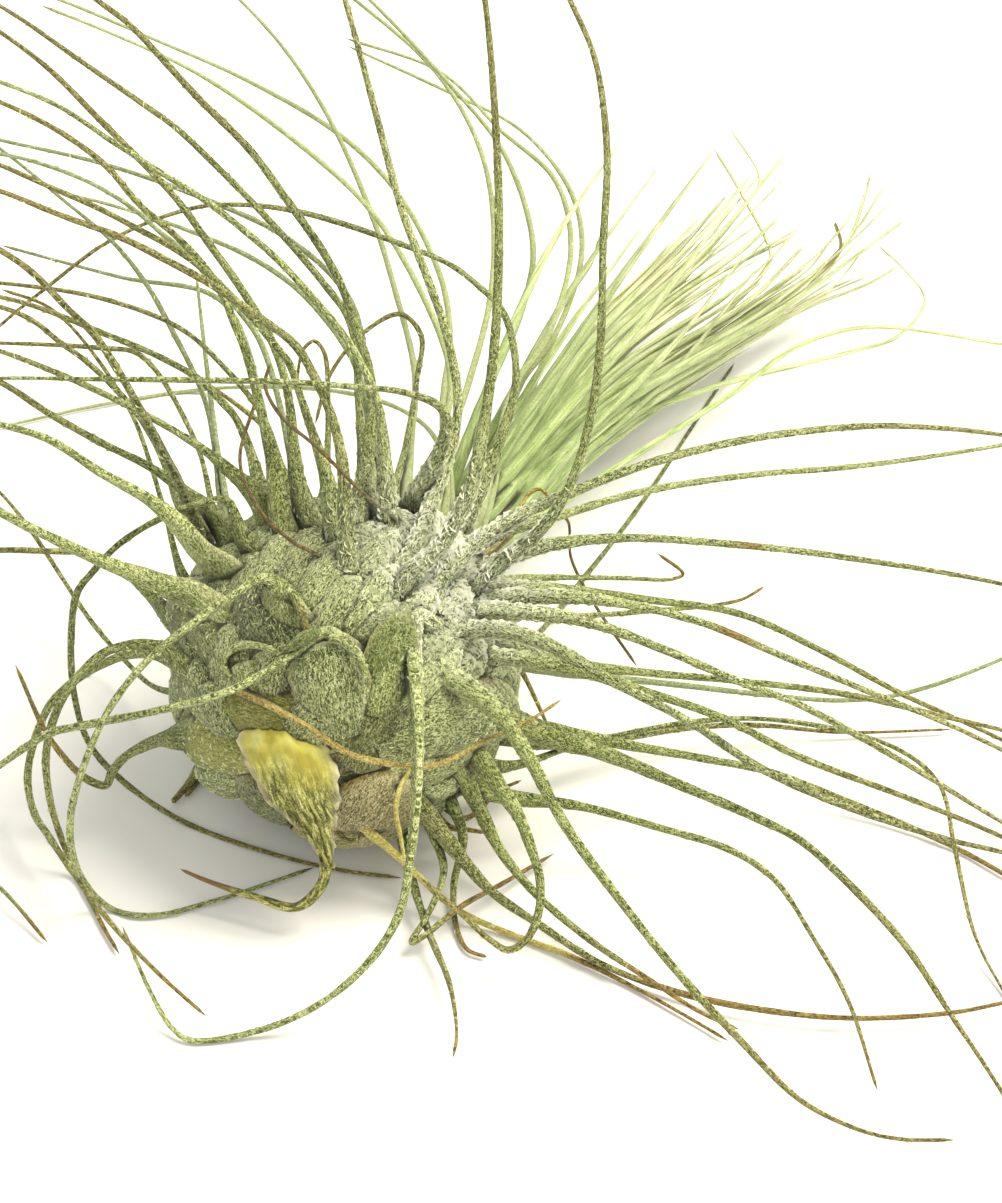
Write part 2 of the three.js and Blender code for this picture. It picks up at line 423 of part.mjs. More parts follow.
// Where the rings of a leaf stand: close where it turns, wide apart where it runs straight.
function ringPlaces(curve, length, turnStep, longestStep) {
  const fine = Math.max(40, Math.round(length * 2.5));
  const picked = [0];
  let last = 0;
  let turned = 0;
  let forward = curve.getTangentAt(0);
  for (let i = 1; i < fine; i += 1) {
    const u = i / fine;
    const next = curve.getTangentAt(u);
    turned += forward.angleTo(next);
    forward = next;
    const run = (u - last) * length;
    const farEnough = run > 1 && (turned > turnStep || run > (u * length < 14 ? 4.5 : longestStep));
    if (farEnough && (1 - u) * length > tipLength * 1.5) {
      picked.push(u);
      last = u;
      turned = 0;
    }
  }
  picked.push(1 - Math.min(0.5, tipLength / length));
  return picked;
}

// One closed solid along a middle line: rings that are rounder on the outer face, and a tip.
function leafSolid(curve, widths, grow, { section, turnStep, longestStep }) {
  const length = curve.getLength();
  const rings = ringPlaces(curve, length, turnStep, longestStep);
  const sides = section.length;
  const corners = [];
  const outer = outerSide(curve.getPointAt(0), curve.getTangentAt(0));
  for (const u of rings) {
    const middle = curve.getPointAt(u);
    const forward = curve.getTangentAt(u);
    outer.addScaledVector(forward, -outer.dot(forward)).normalize();
    const across = forward.clone().cross(outer);
    const bare = Math.max(widthAt(widths, u * length, length), leastBlade);
    const thick = Math.max(Math.min(bare, 1.2 + 0.08 * bare), leastBlade) + 2 * grow;
    for (const [a, o] of section) {
      const corner = middle.clone().addScaledVector(across, a * (bare + 2 * grow));
      corners.push(corner.addScaledVector(outer, o * thick));
    }
  }
  corners.push(curve.getPointAt(0).addScaledVector(curve.getTangentAt(0), -0.4 - grow));
  corners.push(curve.getPointAt(1).addScaledVector(curve.getTangentAt(1), grow));
  const triangles = [];
  const lastRing = (rings.length - 1) * sides;
  for (let s = 0; s < sides; s += 1) {
    const n = (s + 1) % sides;
    triangles.push(corners.length - 2, n, s, corners.length - 1, lastRing + s, lastRing + n);
    for (let r = 0; r < lastRing; r += sides) {
      triangles.push(r + s, r + n, r + sides + n, r + s, r + sides + n, r + sides + s);
    }
  }
  return makeSolid(corners, triangles);
}

function makeSolid(corners, triangles) {
  const vertProperties = new Float32Array(corners.length * 3);
  corners.forEach((corner, i) => corner.toArray(vertProperties, i * 3));
  const triVerts = new Uint32Array(triangles);
  return new wasm.Manifold(new wasm.Mesh({ numProp: 3, vertProperties, triVerts }));
}

// A three.js geometry as a solid, with its doubled corners made one.
function solidFrom(geometry) {
  const place = geometry.getAttribute('position');
  const known = new Map();
  const corners = [];
  const same = [];
  for (let i = 0; i < place.count; i += 1) {
    const corner = new THREE.Vector3().fromBufferAttribute(place, i);
    const key = corner.toArray().map((value) => Math.round(value * 1e3)).join();
    if (!known.has(key)) {
      known.set(key, corners.length);
      corners.push(corner);
    }
    same.push(known.get(key));
  }
  const triangles = [];
  for (let i = 0; i < geometry.index.count; i += 3) {
    const three = [0, 1, 2].map((k) => same[geometry.index.getX(i + k)]);
    if (new Set(three).size === 3) triangles.push(...three);
  }
  return makeSolid(corners, triangles);
}

function geometryFrom(solid) {
  const { vertProperties, triVerts, numProp } = solid.getMesh();
  const place = new Float32Array((vertProperties.length / numProp) * 3);
  for (let i = 0; i < place.length / 3; i += 1) {
    for (let k = 0; k < 3; k += 1) place[i * 3 + k] = vertProperties[i * numProp + k];
  }
  const geometry = new THREE.BufferGeometry();
  geometry.setAttribute('position', new THREE.BufferAttribute(place, 3));
  geometry.setIndex(new THREE.BufferAttribute(new Uint32Array(triVerts), 1));
  geometry.computeVertexNormals();
  return geometry;
}

// The round body under the leaf bases: a ball, longer along the stem.
function bulbCore(grow) {
  const ball = new THREE.SphereGeometry(1, 18, 12);
  const size = new THREE.Vector3(bulbAcross + grow, bulbAlong + grow, bulbAcross + grow);
  const turn = new THREE.Quaternion().setFromUnitVectors(new THREE.Vector3(0, 1, 0), stemAxis);
  return solidFrom(ball.applyMatrix4(new THREE.Matrix4().compose(bulbCentre, turn, size)));
}

// Old leaf bases that have lost their threads lie like scales, each a golden angle on.
function oldBase(i, grow) {
  const clock = i * goldenAngle;
  const ring = 30 + 84 * (i / oldBaseCount) ** 0.8;
  const curve = new THREE.CatmullRomCurve3([
    bulbPoint(clock, ring - 17, -0.8),
    bulbPoint(clock, ring - 4, 0.3),
    bulbPoint(clock, ring + 11, 0.7),
    bulbPoint(clock + 4, ring + 24, 1.5),
  ]);
  return leafSolid(curve, [0, 5, 3, 8, 6.5, 7, 1e3, 1.4], grow, { ...boldBends, longestStep: 4.5 });
}

// What keeps everything above the table: a block from the table down.
function underTable() {
  const block = new THREE.BoxGeometry(600, 600, 40);
  return solidFrom(block.translate(0, 0, -20));
}

function together(solids) {
  return wasm.Manifold.union(solids);
}

// The bulb with all that grows from it in one piece, grown outward by so much.
function bulbSolid(grow) {
  const pieces = [bulbCore(grow)];
  for (let i = 0; i < oldBaseCount; i += 1) pieces.push(oldBase(i, grow));
  for (const one of bulbLeaves) pieces.push(leafSolid(tracedLine(one), one.widths, grow, fewBends));
  return together(pieces);
}

// A steady stream of draws from 0 to 1.
let drawState = 20261;
function draw() {
  drawState = (drawState * 16807) % 2147483647;
  return drawState / 2147483647;
}

// Young threads between the traced ones, spreading a little from the stem's line.
function innerThread(i) {
  const spread = acrossStem(i * goldenAngle);
  const reach = 46 + 30 * draw();
  const open = 3 + 9 * draw();
  const root = bulbCentre.clone().addScaledVector(stemAxis, bulbAlong + 1.5);
  const along = (share, out) => {
    const point = root.clone().addScaledVector(stemAxis, reach * share);
    point.addScaledVector(spread, open * out);
    point.z = Math.max(point.z + 3 * share, tableGap);
    return point;
  };
  return new THREE.CatmullRomCurve3([along(0, 0.08), along(0.3, 0.5), along(0.65, 0.9), along(1, 1)]);
}

function heartSolid() {
  const pieces = heartLeaves.map((one) => leafSolid(tracedLine(one), one.widths, 0, fewBends));
  for (let i = 0; i < innerThreadCount; i += 1) {
    pieces.push(leafSolid(innerThread(i), [0, 2.4, 20, 1.5, 1e3, 0.7], 0, fewBends));
  }
  return together(pieces);
}

// The largest skin of a solid: scraps that a cut parted and hollows that a join sealed are left out.
function largest(solid) {
  const { vertProperties, triVerts, numProp } = solid.getMesh();
  const corners = [];
  for (let i = 0; i < vertProperties.length; i += numProp) {
    corners.push(new THREE.Vector3().fromArray(vertProperties, i));
  }
  const group = corners.map((corner, i) => i);
  const top = (i) => {
    let k = i;
    while (group[k] !== k) k = group[k];
    group[i] = k;
    return k;
  };
  const skins = new Map();
  for (let i = 0; i < triVerts.length; i += 3) {
    group[top(triVerts[i + 1])] = top(triVerts[i]);
    group[top(triVerts[i + 2])] = top(triVerts[i]);
  }
  for (let i = 0; i < triVerts.length; i += 3) {
    const three = [triVerts[i], triVerts[i + 1], triVerts[i + 2]];
    const [a, b, c] = three.map((k) => corners[k]);
    const skin = skins.get(top(three[0])) ?? { triangles: [], volume: 0 };
    skin.triangles.push(...three);
    skin.volume += a.dot(b.clone().cross(c)) / 6;
    skins.set(top(three[0]), skin);
  }
  const { triangles } = [...skins.values()].sort((a, b) => b.volume - a.volume)[0];
  const used = [...new Set(triangles)];
  const place = new Map(used.map((k, i) => [k, i]));
  return makeSolid(used.map((k) => corners[k]), triangles.map((k) => place.get(k)));
}

// ---- Colours ----
const tones = {
  silver: [0x9fab8c, 0.85],
  green: [0x7f8f4e, 0.75],
  olive: [0x8c8f45, 0.75],
  pale: [0xa9bb80, 0.8],
  yellow: [0xc4b04e, 0.75],
  torn: [0xb9bb55, 0.8],
  dry: [0xb58a4a, 0.85],
  brown: [0x7a5230, 0.85],
  heart: [0xc3d293, 0.75],
};

const plant = new THREE.Group();

function addPiece(name, tone, solid) {
  const [colour, roughness] = tones[tone];
  const material = new THREE.MeshStandardMaterial({ color: colour, roughness, metalness: 0 });
  const mesh = new THREE.Mesh(geometryFrom(solid), material);
  mesh.name = name;
  plant.add(mesh);
}

// Each later piece is cut back to a clear gap from every piece before it, where the bases crowd.
const table = underTable();
let taken = bulbSolid(leafGap);
addPiece('bulb', 'silver', largest(bulbSolid(0).subtract(table).simplify(0.01)));

function clearOfTaken(solid) {
  return largest(solid.subtract(table).subtract(taken).simplify(0.01));
}

for (const one of [...largeLeaves, ...dryLeaves]) {
  const line = tracedLine(one);
  const solid = leafSolid(line, one.widths, 0, boldBends);
  addPiece(one.name, one.tone, clearOfTaken(solid));
  taken = taken.add(leafSolid(line, one.widths, leafGap, boldBends));
}
addPiece('heart', 'heart', clearOfTaken(heartSolid()));

export default plant;
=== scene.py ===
# %% [markdown]
# A thread-leaved air plant on a pale table.
# The real plant has no soil and no pot. A short stem carries a hundred leaves. Each leaf starts as
# a broad sheath that hugs its neighbours, so that together they make a bulb, and then narrows to a
# long channelled thread. Fine silver scales cover everything and drink water from the air.
# This lesson loads the plain solids, then dresses each of them: a loft for every leaf, a cup for
# every sheath, a sheaf of strands for the heart, and skins made only of nodes.

# %% Load the solids
import math
import random

import bpy
import numpy as np
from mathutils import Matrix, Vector
from mathutils.bvhtree import BVHTree


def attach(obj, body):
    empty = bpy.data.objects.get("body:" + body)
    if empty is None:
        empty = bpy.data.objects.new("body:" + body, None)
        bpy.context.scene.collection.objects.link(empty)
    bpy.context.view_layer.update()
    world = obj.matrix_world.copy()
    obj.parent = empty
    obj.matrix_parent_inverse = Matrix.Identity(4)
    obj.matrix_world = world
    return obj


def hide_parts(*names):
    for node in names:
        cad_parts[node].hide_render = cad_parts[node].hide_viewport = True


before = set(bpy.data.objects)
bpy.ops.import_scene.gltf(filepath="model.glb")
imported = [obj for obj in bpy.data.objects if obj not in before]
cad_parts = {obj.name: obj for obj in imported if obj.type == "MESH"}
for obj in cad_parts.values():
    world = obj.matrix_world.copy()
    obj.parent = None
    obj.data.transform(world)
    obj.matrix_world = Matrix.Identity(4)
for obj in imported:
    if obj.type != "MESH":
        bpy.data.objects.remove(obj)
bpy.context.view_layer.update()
print("solids:", len(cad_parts))

# %% [markdown]
# The line of sight comes first. Every leaf was followed on a picture of the plant, so each route
# is a row of picture places with a distance behind the plane through the bulb's centre. The same
# sight gives the camera its place, so the render and the routes agree. Another way is to model the
# plant free-hand and then hunt for a camera, which rarely makes a hundred threads fall in place.

# %% The fixed line of sight
MM = 0.001
BULB_ALONG, BULB_ACROSS, BULB_HEIGHT = 15.0, 14.3, 13.8  # mm: half its length and width, its middle
STEM = np.array([0.48, 0.874, 0.074])  # from the root end to the crown
STEM = STEM / np.linalg.norm(STEM)
FRAME_WIDE, FRAME_HIGH = 1002, 1203  # picture places
EYE_TILT = math.radians(40)
EYE_DISTANCE = 360.0  # mm from the eye to the plane through the bulb's centre
PLACES_PER_MM = 11.0  # on that plane
BULB_PLACE = (345, 665)  # where the bulb's centre is seen
TABLE_GAP = 0.45  # mm: how high the middle line of a leaf is that lies on the table
BULB_CENTRE = np.array([0.0, 0.0, BULB_HEIGHT])
RIGHT = np.array([1.0, 0.0, 0.0])
UP = np.array([0.0, math.sin(EYE_TILT), math.cos(EYE_TILT)])
AWAY = np.array([0.0, math.cos(EYE_TILT), -math.sin(EYE_TILT)])
LENS_PLACES = PLACES_PER_MM * EYE_DISTANCE


def unit(vector):
    """The vector's direction, 1 long."""
    return vector / np.linalg.norm(vector)


def sight_line(x, y):
    """The way from the eye through a picture place, for each mm away from it."""
    across = (x - FRAME_WIDE / 2) / LENS_PLACES
    return AWAY + RIGHT * across + UP * ((FRAME_HIGH / 2 - y) / LENS_PLACES)


EYE = BULB_CENTRE - EYE_DISTANCE * sight_line(*BULB_PLACE)


def seen_point(x, y, behind):
    """The place seen at x, y so far behind the bulb's plane, or on the table if it is lower."""
    line = sight_line(x, y)
    point = EYE + line * (EYE_DISTANCE + behind)
    if point[2] >= TABLE_GAP:
        return point
    return EYE + line * ((TABLE_GAP - EYE[2]) / line[2])


def to_ball(vector):
    """A direction in the space where the bulb is a ball of radius 1."""
    along = vector @ STEM
    return (vector - STEM * along) / BULB_ACROSS + STEM * (along / BULB_ALONG)


def face_behind(x, y):
    """How far behind the bulb's plane its near side is at x, y, or 0 beside the bulb."""
    step, start = to_ball(sight_line(x, y)), to_ball(EYE - BULB_CENTRE)
    half = step @ start
    inside = half * half - (step @ step) * (start @ start - 1)
    if inside <= 0:
        return 0.0
    return (-half - math.sqrt(inside)) / (step @ step) - EYE_DISTANCE


print("eye at", np.round(EYE, 1), "mm")

# %% [markdown]
# The camera is a long lens that looks down by 40 degrees. Its focal length follows from the sight:
# 3960 picture places of lens distance over a frame that is 1203 places high.

# %% Camera
SENSOR = 36.0
camera_data = bpy.data.cameras.new("camera")
camera_data.sensor_width = SENSOR
camera_data.lens = SENSOR * LENS_PLACES / FRAME_HIGH
camera = bpy.data.objects.new("camera", camera_data)
camera.location = EYE * MM
camera.rotation_euler = (math.radians(90) - EYE_TILT, 0, 0)
bpy.context.scene.collection.objects.link(camera)
bpy.context.scene.camera = camera
print("lens", round(camera_data.lens, 1), "mm")

# %% [markdown]
# The leaves as they were followed, from root to tip. Each has a name, a tone, its picture places,
# its distances behind the bulb's plane at even stretches of the route, and its widths in mm.
# `seat` puts the root on the near side of the bulb, and END is a distance beyond any tip. These
# are the routes of the solids, repeated here so that each finer leaf keeps the form of the one it
# stands for.

# %% How a leaf is written down
seat = None
END = 1e3


def leaf(name, tone, trace, behind, widths):
    """One leaf. A list gives all its widths, and four numbers stand for the slender kind."""
    widths = slender(*widths) if isinstance(widths, tuple) else widths
    return {"name": name, "tone": tone, "trace": trace, "behind": behind, "widths": widths}


def slender(base, run, blade, tip):
    """Widths of a base that narrows to a thread, each after its distance from the root."""
    shoulder = [run * 0.3, base * 0.8, run * 0.66, base * 0.28 + blade]
    return [0, base, *shoulder, run, blade * 1.4, run * 1.4, blade * 1.06, END, tip]


def pairs(trace):
    """The picture places of a trace, which is written as x, y, x, y."""
    return list(zip(trace[0::2], trace[1::2]))


print("a slender leaf:", np.round(slender(4, 10, 1.0, 0.7), 2))

# %% The large leaves
large_leaves = [leaf(*row) for row in (
    ("front_loop_1", "pale", [288,645, 280,610, 276,584, 262,578, 240,590, 190,625, 145,662,
      108,710, 82,770, 70,825, 80,875, 110,908, 135,915, 165,914, 200,905, 240,893, 315,867],
      [seat, -17.5, -21, -20, -14, -4, 3, 3],
      [0, 4.6, 2.5, 5.6, 4.4, 4.6, 6.2, 1.7, 9, 1.2, END, 0.7]),
    ("front_loop_2", "pale", [338,688, 334,655, 325,635, 308,642, 290,655, 260,675, 225,692,
      150,712, 75,727, 50,733, 0,765, -45,800, -60,835, -35,865, 0,888, 48,943],
      [seat, -18, -20, -18, -14, -8, -4, -8], [0, 5, 2.4, 6, 4, 4.8, 5.8, 1.9, 9, 1.25, END, 0.7]),
    ("front_drop", "pale", [446,655, 432,632, 416,619, 411,642, 415,700, 417,760, 414,820,
      408,870, 398,915, 370,960, 320,1003, 260,1030, 190,1040, 172,1028, 152,995, 130,945, 122,925],
      [seat, -16, -19, -20, -19, -18, -17, -17, -10],
      [0, 3.6, 5, 3, 10, 2.8, 13, 2.4, 17, 1.9, 22, 1.5, END, 0.6]),
    ("torn_sheath", "torn", [262,722, 276,752, 298,792, 315,826, 325,858, 322,884, 297,907,
      255,897, 205,880, 180,869],
      [seat, -14.5, -14, -11.5, -9.5, -8.5, -7.5, -7],
      [0, 5, 2.5, 8.2, 6, 8.4, 9, 5.8, 12, 2.8, 15, 1.7, 19, 1.4, END, 0.8]),
    ("left_loop_1", "green", [226,692, 200,681, 160,647, 110,650, 75,680, 55,715, 46,755, 50,800,
      62,840, 75,870, 90,900, 105,930, 120,955],
      [seat, -9, -9, -6, -2, -4], (5.4, 8, 1.1, 0.7)),
    ("left_loop_2", "green", [212,668, 190,664, 145,652, 95,668, 50,705, 28,770, 33,810, 50,838,
      68,865, 110,922, 160,975, 207,1017],
      [seat, -4, 0, -1, -9, -15, -16], (4.4, 8, 1.05, 0.7)),
    ("upper_loop", "green", [262,566, 242,535, 226,500, 208,501, 165,516, 120,543, 90,575,
      77,593, 71,640, 75,700, 90,745, 125,783, 180,820, 260,850, 340,870, 402,878],
      [seat, -12, -11, -8, -2, 4, 6, 6, 6], (5, 6, 0.95, 0.7)),
    ("torn_left_leaf", "green", [250,744, 222,742, 190,739, 160,740, 140,748, 125,757, 112,772,
      106,785, 85,778, 58,750, 42,725, 22,680, 15,664],
      [seat, -6, -2, -1, -3, -4, -6],
      [0, 4.8, 2.5, 5.4, 5.5, 5.6, 8.2, 4, 10.1, 2.6, 11.7, 1.7, 15, 1.2, END, 0.66]),
    ("folded_leaf", "pale", [402,520, 425,480, 442,445, 447,420, 438,405, 400,391, 350,386,
      300,382, 200,380, 100,379, 0,378, -90,384],
      [seat, -9, -14, -15.5, -17, -17, -16], (3.2, 12, 0.95, 0.65)),
    ("left_bright_leaf", "pale", [236,590, 215,566, 197,550, 180,525, 150,500, 100,472, 50,440,
      0,424, -90,402, -160,405],
      [seat, -13, -15, -17, -16, -14], (5.6, 13, 1.1, 0.65)),
    ("left_broad_leaf", "pale", [240,640, 215,618, 195,600, 150,580, 100,560, 50,537, 0,512,
      -80,462, -150,440],
      [seat, -11, -13, -15, -16, -14], (5.4, 14, 1.25, 0.65)),
    ("left_flat_leaf", "green", [205,640, 178,625, 155,600, 125,572, 85,553, 50,551, 0,550,
      -80,556, -130,575],
      [seat, 1, 1, -1, -3, -3], (4.6, 12, 1.0, 0.65)),
    ("left_arch_1", "olive", [215,560, 197,525, 190,507, 177,477, 160,445, 140,407, 115,365,
      95,335, 65,305, 32,272, 0,250, -70,215, -140,215],
      [seat, -12, -13, -15, -19, -24], (5, 10, 1.3, 0.7)),
    ("left_arch_2", "green", [238,560, 222,530, 210,512, 190,495, 150,467, 100,442, 50,414,
      0,382, -90,345, -150,345],
      [seat, -1, -2, -3, -4, -6], (4.4, 10, 1.0, 0.65)),
    ("left_arch_3", "green", [275,540, 257,497, 225,467, 200,447, 150,417, 100,392, 50,370,
      0,351, -90,325],
      [seat, -7, -4, -1, 2, 8], (4.2, 10, 0.9, 0.65)),
    ("upper_left_1", "green", [355,545, 360,500, 368,450, 372,400, 369,368, 357,332, 342,287,
      322,250, 287,200, 250,150, 200,100, 165,62, 130,25, 97,0, 40,-45, -40,-80],
      [seat, -3, 0, 1, 3, 6, 18], (4.4, 11, 1.15, 0.7)),
    ("upper_left_2", "green", [372,535, 365,480, 360,420, 350,322, 325,285, 287,240, 250,200,
      200,150, 175,127, 140,102, 75,57, 30,25, 0,6, -80,-40],
      [seat, 1, 6, 10, 14, 18, 28], (3.6, 10, 1.0, 0.65)),
    ("upper_left_3", "pale", [388,540, 386,495, 384,450, 377,400, 360,362, 345,337, 312,297,
      280,262, 240,227, 200,197, 160,172, 110,140, 60,107, 0,82, -80,60],
      [seat, -10, -11, -10, -9, -9, -16], (4, 10, 0.95, 0.65)),
    ("upper_left_4", "green", [318,545, 305,510, 297,480, 293,440, 289,400, 283,372, 270,337,
      240,287, 210,245, 175,197, 140,160, 100,120, 50,70, 0,32, -70,-10],
      [seat, -5, -3, -1, 1, 4, 12], (5, 10, 1.1, 0.7)),
    ("upper_left_5", "green", [292,548, 280,515, 276,480, 270,450, 262,415, 257,395, 245,350,
      235,325, 225,300, 205,267, 175,235, 140,205, 105,165, 60,132, 0,102, -80,75],
      [seat, -9, -8, -7, -8, -9, -14], (4.6, 10, 1.05, 0.7)),
    ("upper_left_6", "green", [340,560, 333,520, 328,485, 320,455, 310,425, 300,395, 290,365,
      275,345, 245,310, 212,277, 180,252, 140,230, 100,209, 50,187, 0,165, -90,130],
      [seat, -11, -11, -11, -12, -14, -22], (4.4, 10, 0.95, 0.65)),
    ("upper_left_7", "olive", [352,590, 348,560, 346,512, 342,460, 337,435, 330,412, 317,382,
      295,345, 255,315, 212,285, 170,262, 120,237, 60,215, 0,191, -90,165],
      [seat, -14.5, -13, -14, -16, -19, -26], (4.4, 10, 1.15, 0.7)),
    ("upper_left_8", "green", [455,548, 478,495, 498,445, 513,400, 516,370, 510,330, 500,307,
      485,292, 450,265, 400,244, 350,226, 300,212, 260,206, 230,205, 200,207, 150,222, 100,247,
      50,285, 0,326, -60,390],
      [seat, 0, 7, 14, 19, 22, 24, 26], (2.8, 12, 0.95, 0.65)),
    ("left_arch_4", "green", [290,530, 262,490, 250,450, 235,417, 220,400, 200,380, 160,357,
      100,332, 37,307, 0,297, -90,285],
      [seat, 1, 4, 7, 9, 10], (4, 10, 0.95, 0.65)),
    ("left_arch_5", "green", [205,545, 180,497, 165,460, 140,417, 107,380, 85,360, 60,342,
      35,322, 0,307, -80,300],
      [seat, 3, 4, 4, 5, 8], (3.6, 10, 0.95, 0.65)),
    ("upright_1", "green", [388,612, 405,580, 440,545, 470,490, 483,430, 494,350, 499,250,
      497,150, 485,0, 468,-90, 430,-170],
      [seat, -13.5, -13, -13, -13, -14, -18], (3.4, 16, 1.2, 0.7)),
    ("upright_2", "silver", [388,580, 412,550, 432,500, 452,445, 458,400, 447,335, 430,285,
      402,210, 375,110, 345,0, 318,-80, 270,-150],
      [seat, -4, -3, -3, -4, -6, -14], (3.8, 13, 1.15, 0.7)),
    ("upright_3", "green", [462,600, 490,572, 518,550, 545,525, 570,485, 590,420, 600,350,
      603,250, 607,150, 595,60, 570,0, 535,-70, 470,-130],
      [seat, -9.5, -9, -6, -1, 6, 16], (3, 10, 1.1, 0.7)),
    ("right_arch_1", "silver", [425,598, 465,552, 510,520, 570,493, 650,463, 750,439, 850,427,
      900,426, 1002,435, 1100,460],
      [seat, -7.5, -5, -3, -2, 0], (3.6, 13, 1.15, 0.65)),
    ("right_arch_2", "pale", [452,560, 500,533, 570,512, 650,490, 760,474, 850,467, 1002,445,
      1090,425],
      [seat, 2, 8, 12, 14, 16], (2.6, 12, 0.95, 0.65)),
    ("right_arch_3", "silver", [468,575, 500,561, 540,547, 620,538, 740,545, 850,558, 1002,584,
      1100,612],
      [seat, -1, 1, 3, 3, 3], (2.8, 12, 1, 0.65)),
    ("right_arch_4", "silver", [440,632, 500,630, 545,643, 610,680, 690,722, 760,768, 850,808,
      950,840, 1002,852, 1100,880],
      [seat, -12.5, -12, -12, -10, -8], (3.2, 13, 1.15, 0.7)),
    ("right_arch_5", "silver", [458,612, 500,611, 580,620, 660,648, 740,682, 800,705, 900,760,
      1002,822, 1090,870],
      [seat, -10, -8.5, -7, -5, -3], (3.2, 12, 1.05, 0.65)),
    ("right_arch_6", "silver", [474,602, 520,597, 600,600, 700,622, 780,655, 860,688, 950,725,
      1002,750, 1100,800],
      [seat, -6, -3.5, -1, 1, 2], (3, 12, 1, 0.65)),
    ("right_arch_7", "green", [476,590, 520,588, 570,591, 650,600, 740,614, 820,650, 900,693,
      1002,740, 1090,790],
      [seat, 0, 5, 9, 10, 10], (2.8, 12, 0.95, 0.65)),
    ("right_arch_8", "green", [470,655, 520,659, 570,668, 640,690, 720,717, 800,757, 900,795,
      1002,837, 1090,885],
      [seat, -8.5, -7, -6, -4, -2], (3, 12, 1.05, 0.65)),
    ("right_arch_9", "green", [480,642, 530,654, 580,665, 650,673, 750,682, 850,695, 950,718,
      1002,730, 1100,760],
      [seat, -3, 0, 3, 5, 6], (3, 12, 0.95, 0.65)),
    ("right_low_1", "green", [424,668, 452,680, 480,698, 502,718, 530,760, 565,825, 620,900,
      680,975, 740,1040, 800,1100, 860,1130, 900,1139, 957,1140],
      [seat, -14.5, -17, -19, -21, -24, -27, -29], (4.4, 13, 1.25, 0.66)),
    ("right_low_2", "green", [472,706, 510,724, 550,738, 600,752, 680,785, 750,815, 800,840,
      850,885, 905,945, 950,1013, 1002,1092, 1045,1170],
      [seat, -8, -9, -11, -14, -18, -24, -29], (5, 15, 1.2, 0.66)),
    ("right_low_3", "green", [486,700, 520,722, 600,740, 700,758, 770,772, 850,802, 950,845,
      1002,873, 1100,935],
      [seat, -1, 3, 4, 3, 1], (4, 14, 1.0, 0.65)),
    ("right_low_4", "green", [448,770, 475,786, 510,797, 580,806, 660,828, 730,850, 775,880,
      815,940, 848,1000, 878,1092],
      [seat, -4.5, -4, -4, -7, -12, -18, -25], (4, 12, 0.95, 0.66)),
    ("right_low_5", "olive", [400,785, 425,812, 455,850, 490,890, 540,925, 600,963, 670,990,
      750,1008, 850,1018, 950,1013, 1002,1003, 1080,985],
      [seat, -8, -10, -13, -16, -17, -16, -15], (4, 12, 0.95, 0.66)),
    ("right_low_6", "green", [440,748, 462,775, 480,810, 500,850, 535,893, 590,940, 650,980,
      700,1012, 740,1030],
      [seat, -5, -5.5, -7.5, -13.6, -18.6, -17.5], (4, 12, 0.95, 0.66)),
    ("low_loop", "green", [462,738, 482,762, 500,788, 518,815, 530,845, 540,880, 538,915,
      526,940, 508,950, 490,940, 465,918, 440,895, 415,873],
      [seat, -9, -10, -12, -13.5, -13.5, -12.5], (4.2, 10, 1.1, 0.7)),
    ("yellow_low_leaf", "yellow", [322,780, 342,808, 385,845, 402,860, 455,908, 500,930, 570,956,
      640,990, 700,1024, 730,1042],
      [seat, -8, -7, -6, -9, -13, -17], (3, 8, 0.9, 0.66)),
)]
print("large leaves:", len(large_leaves))

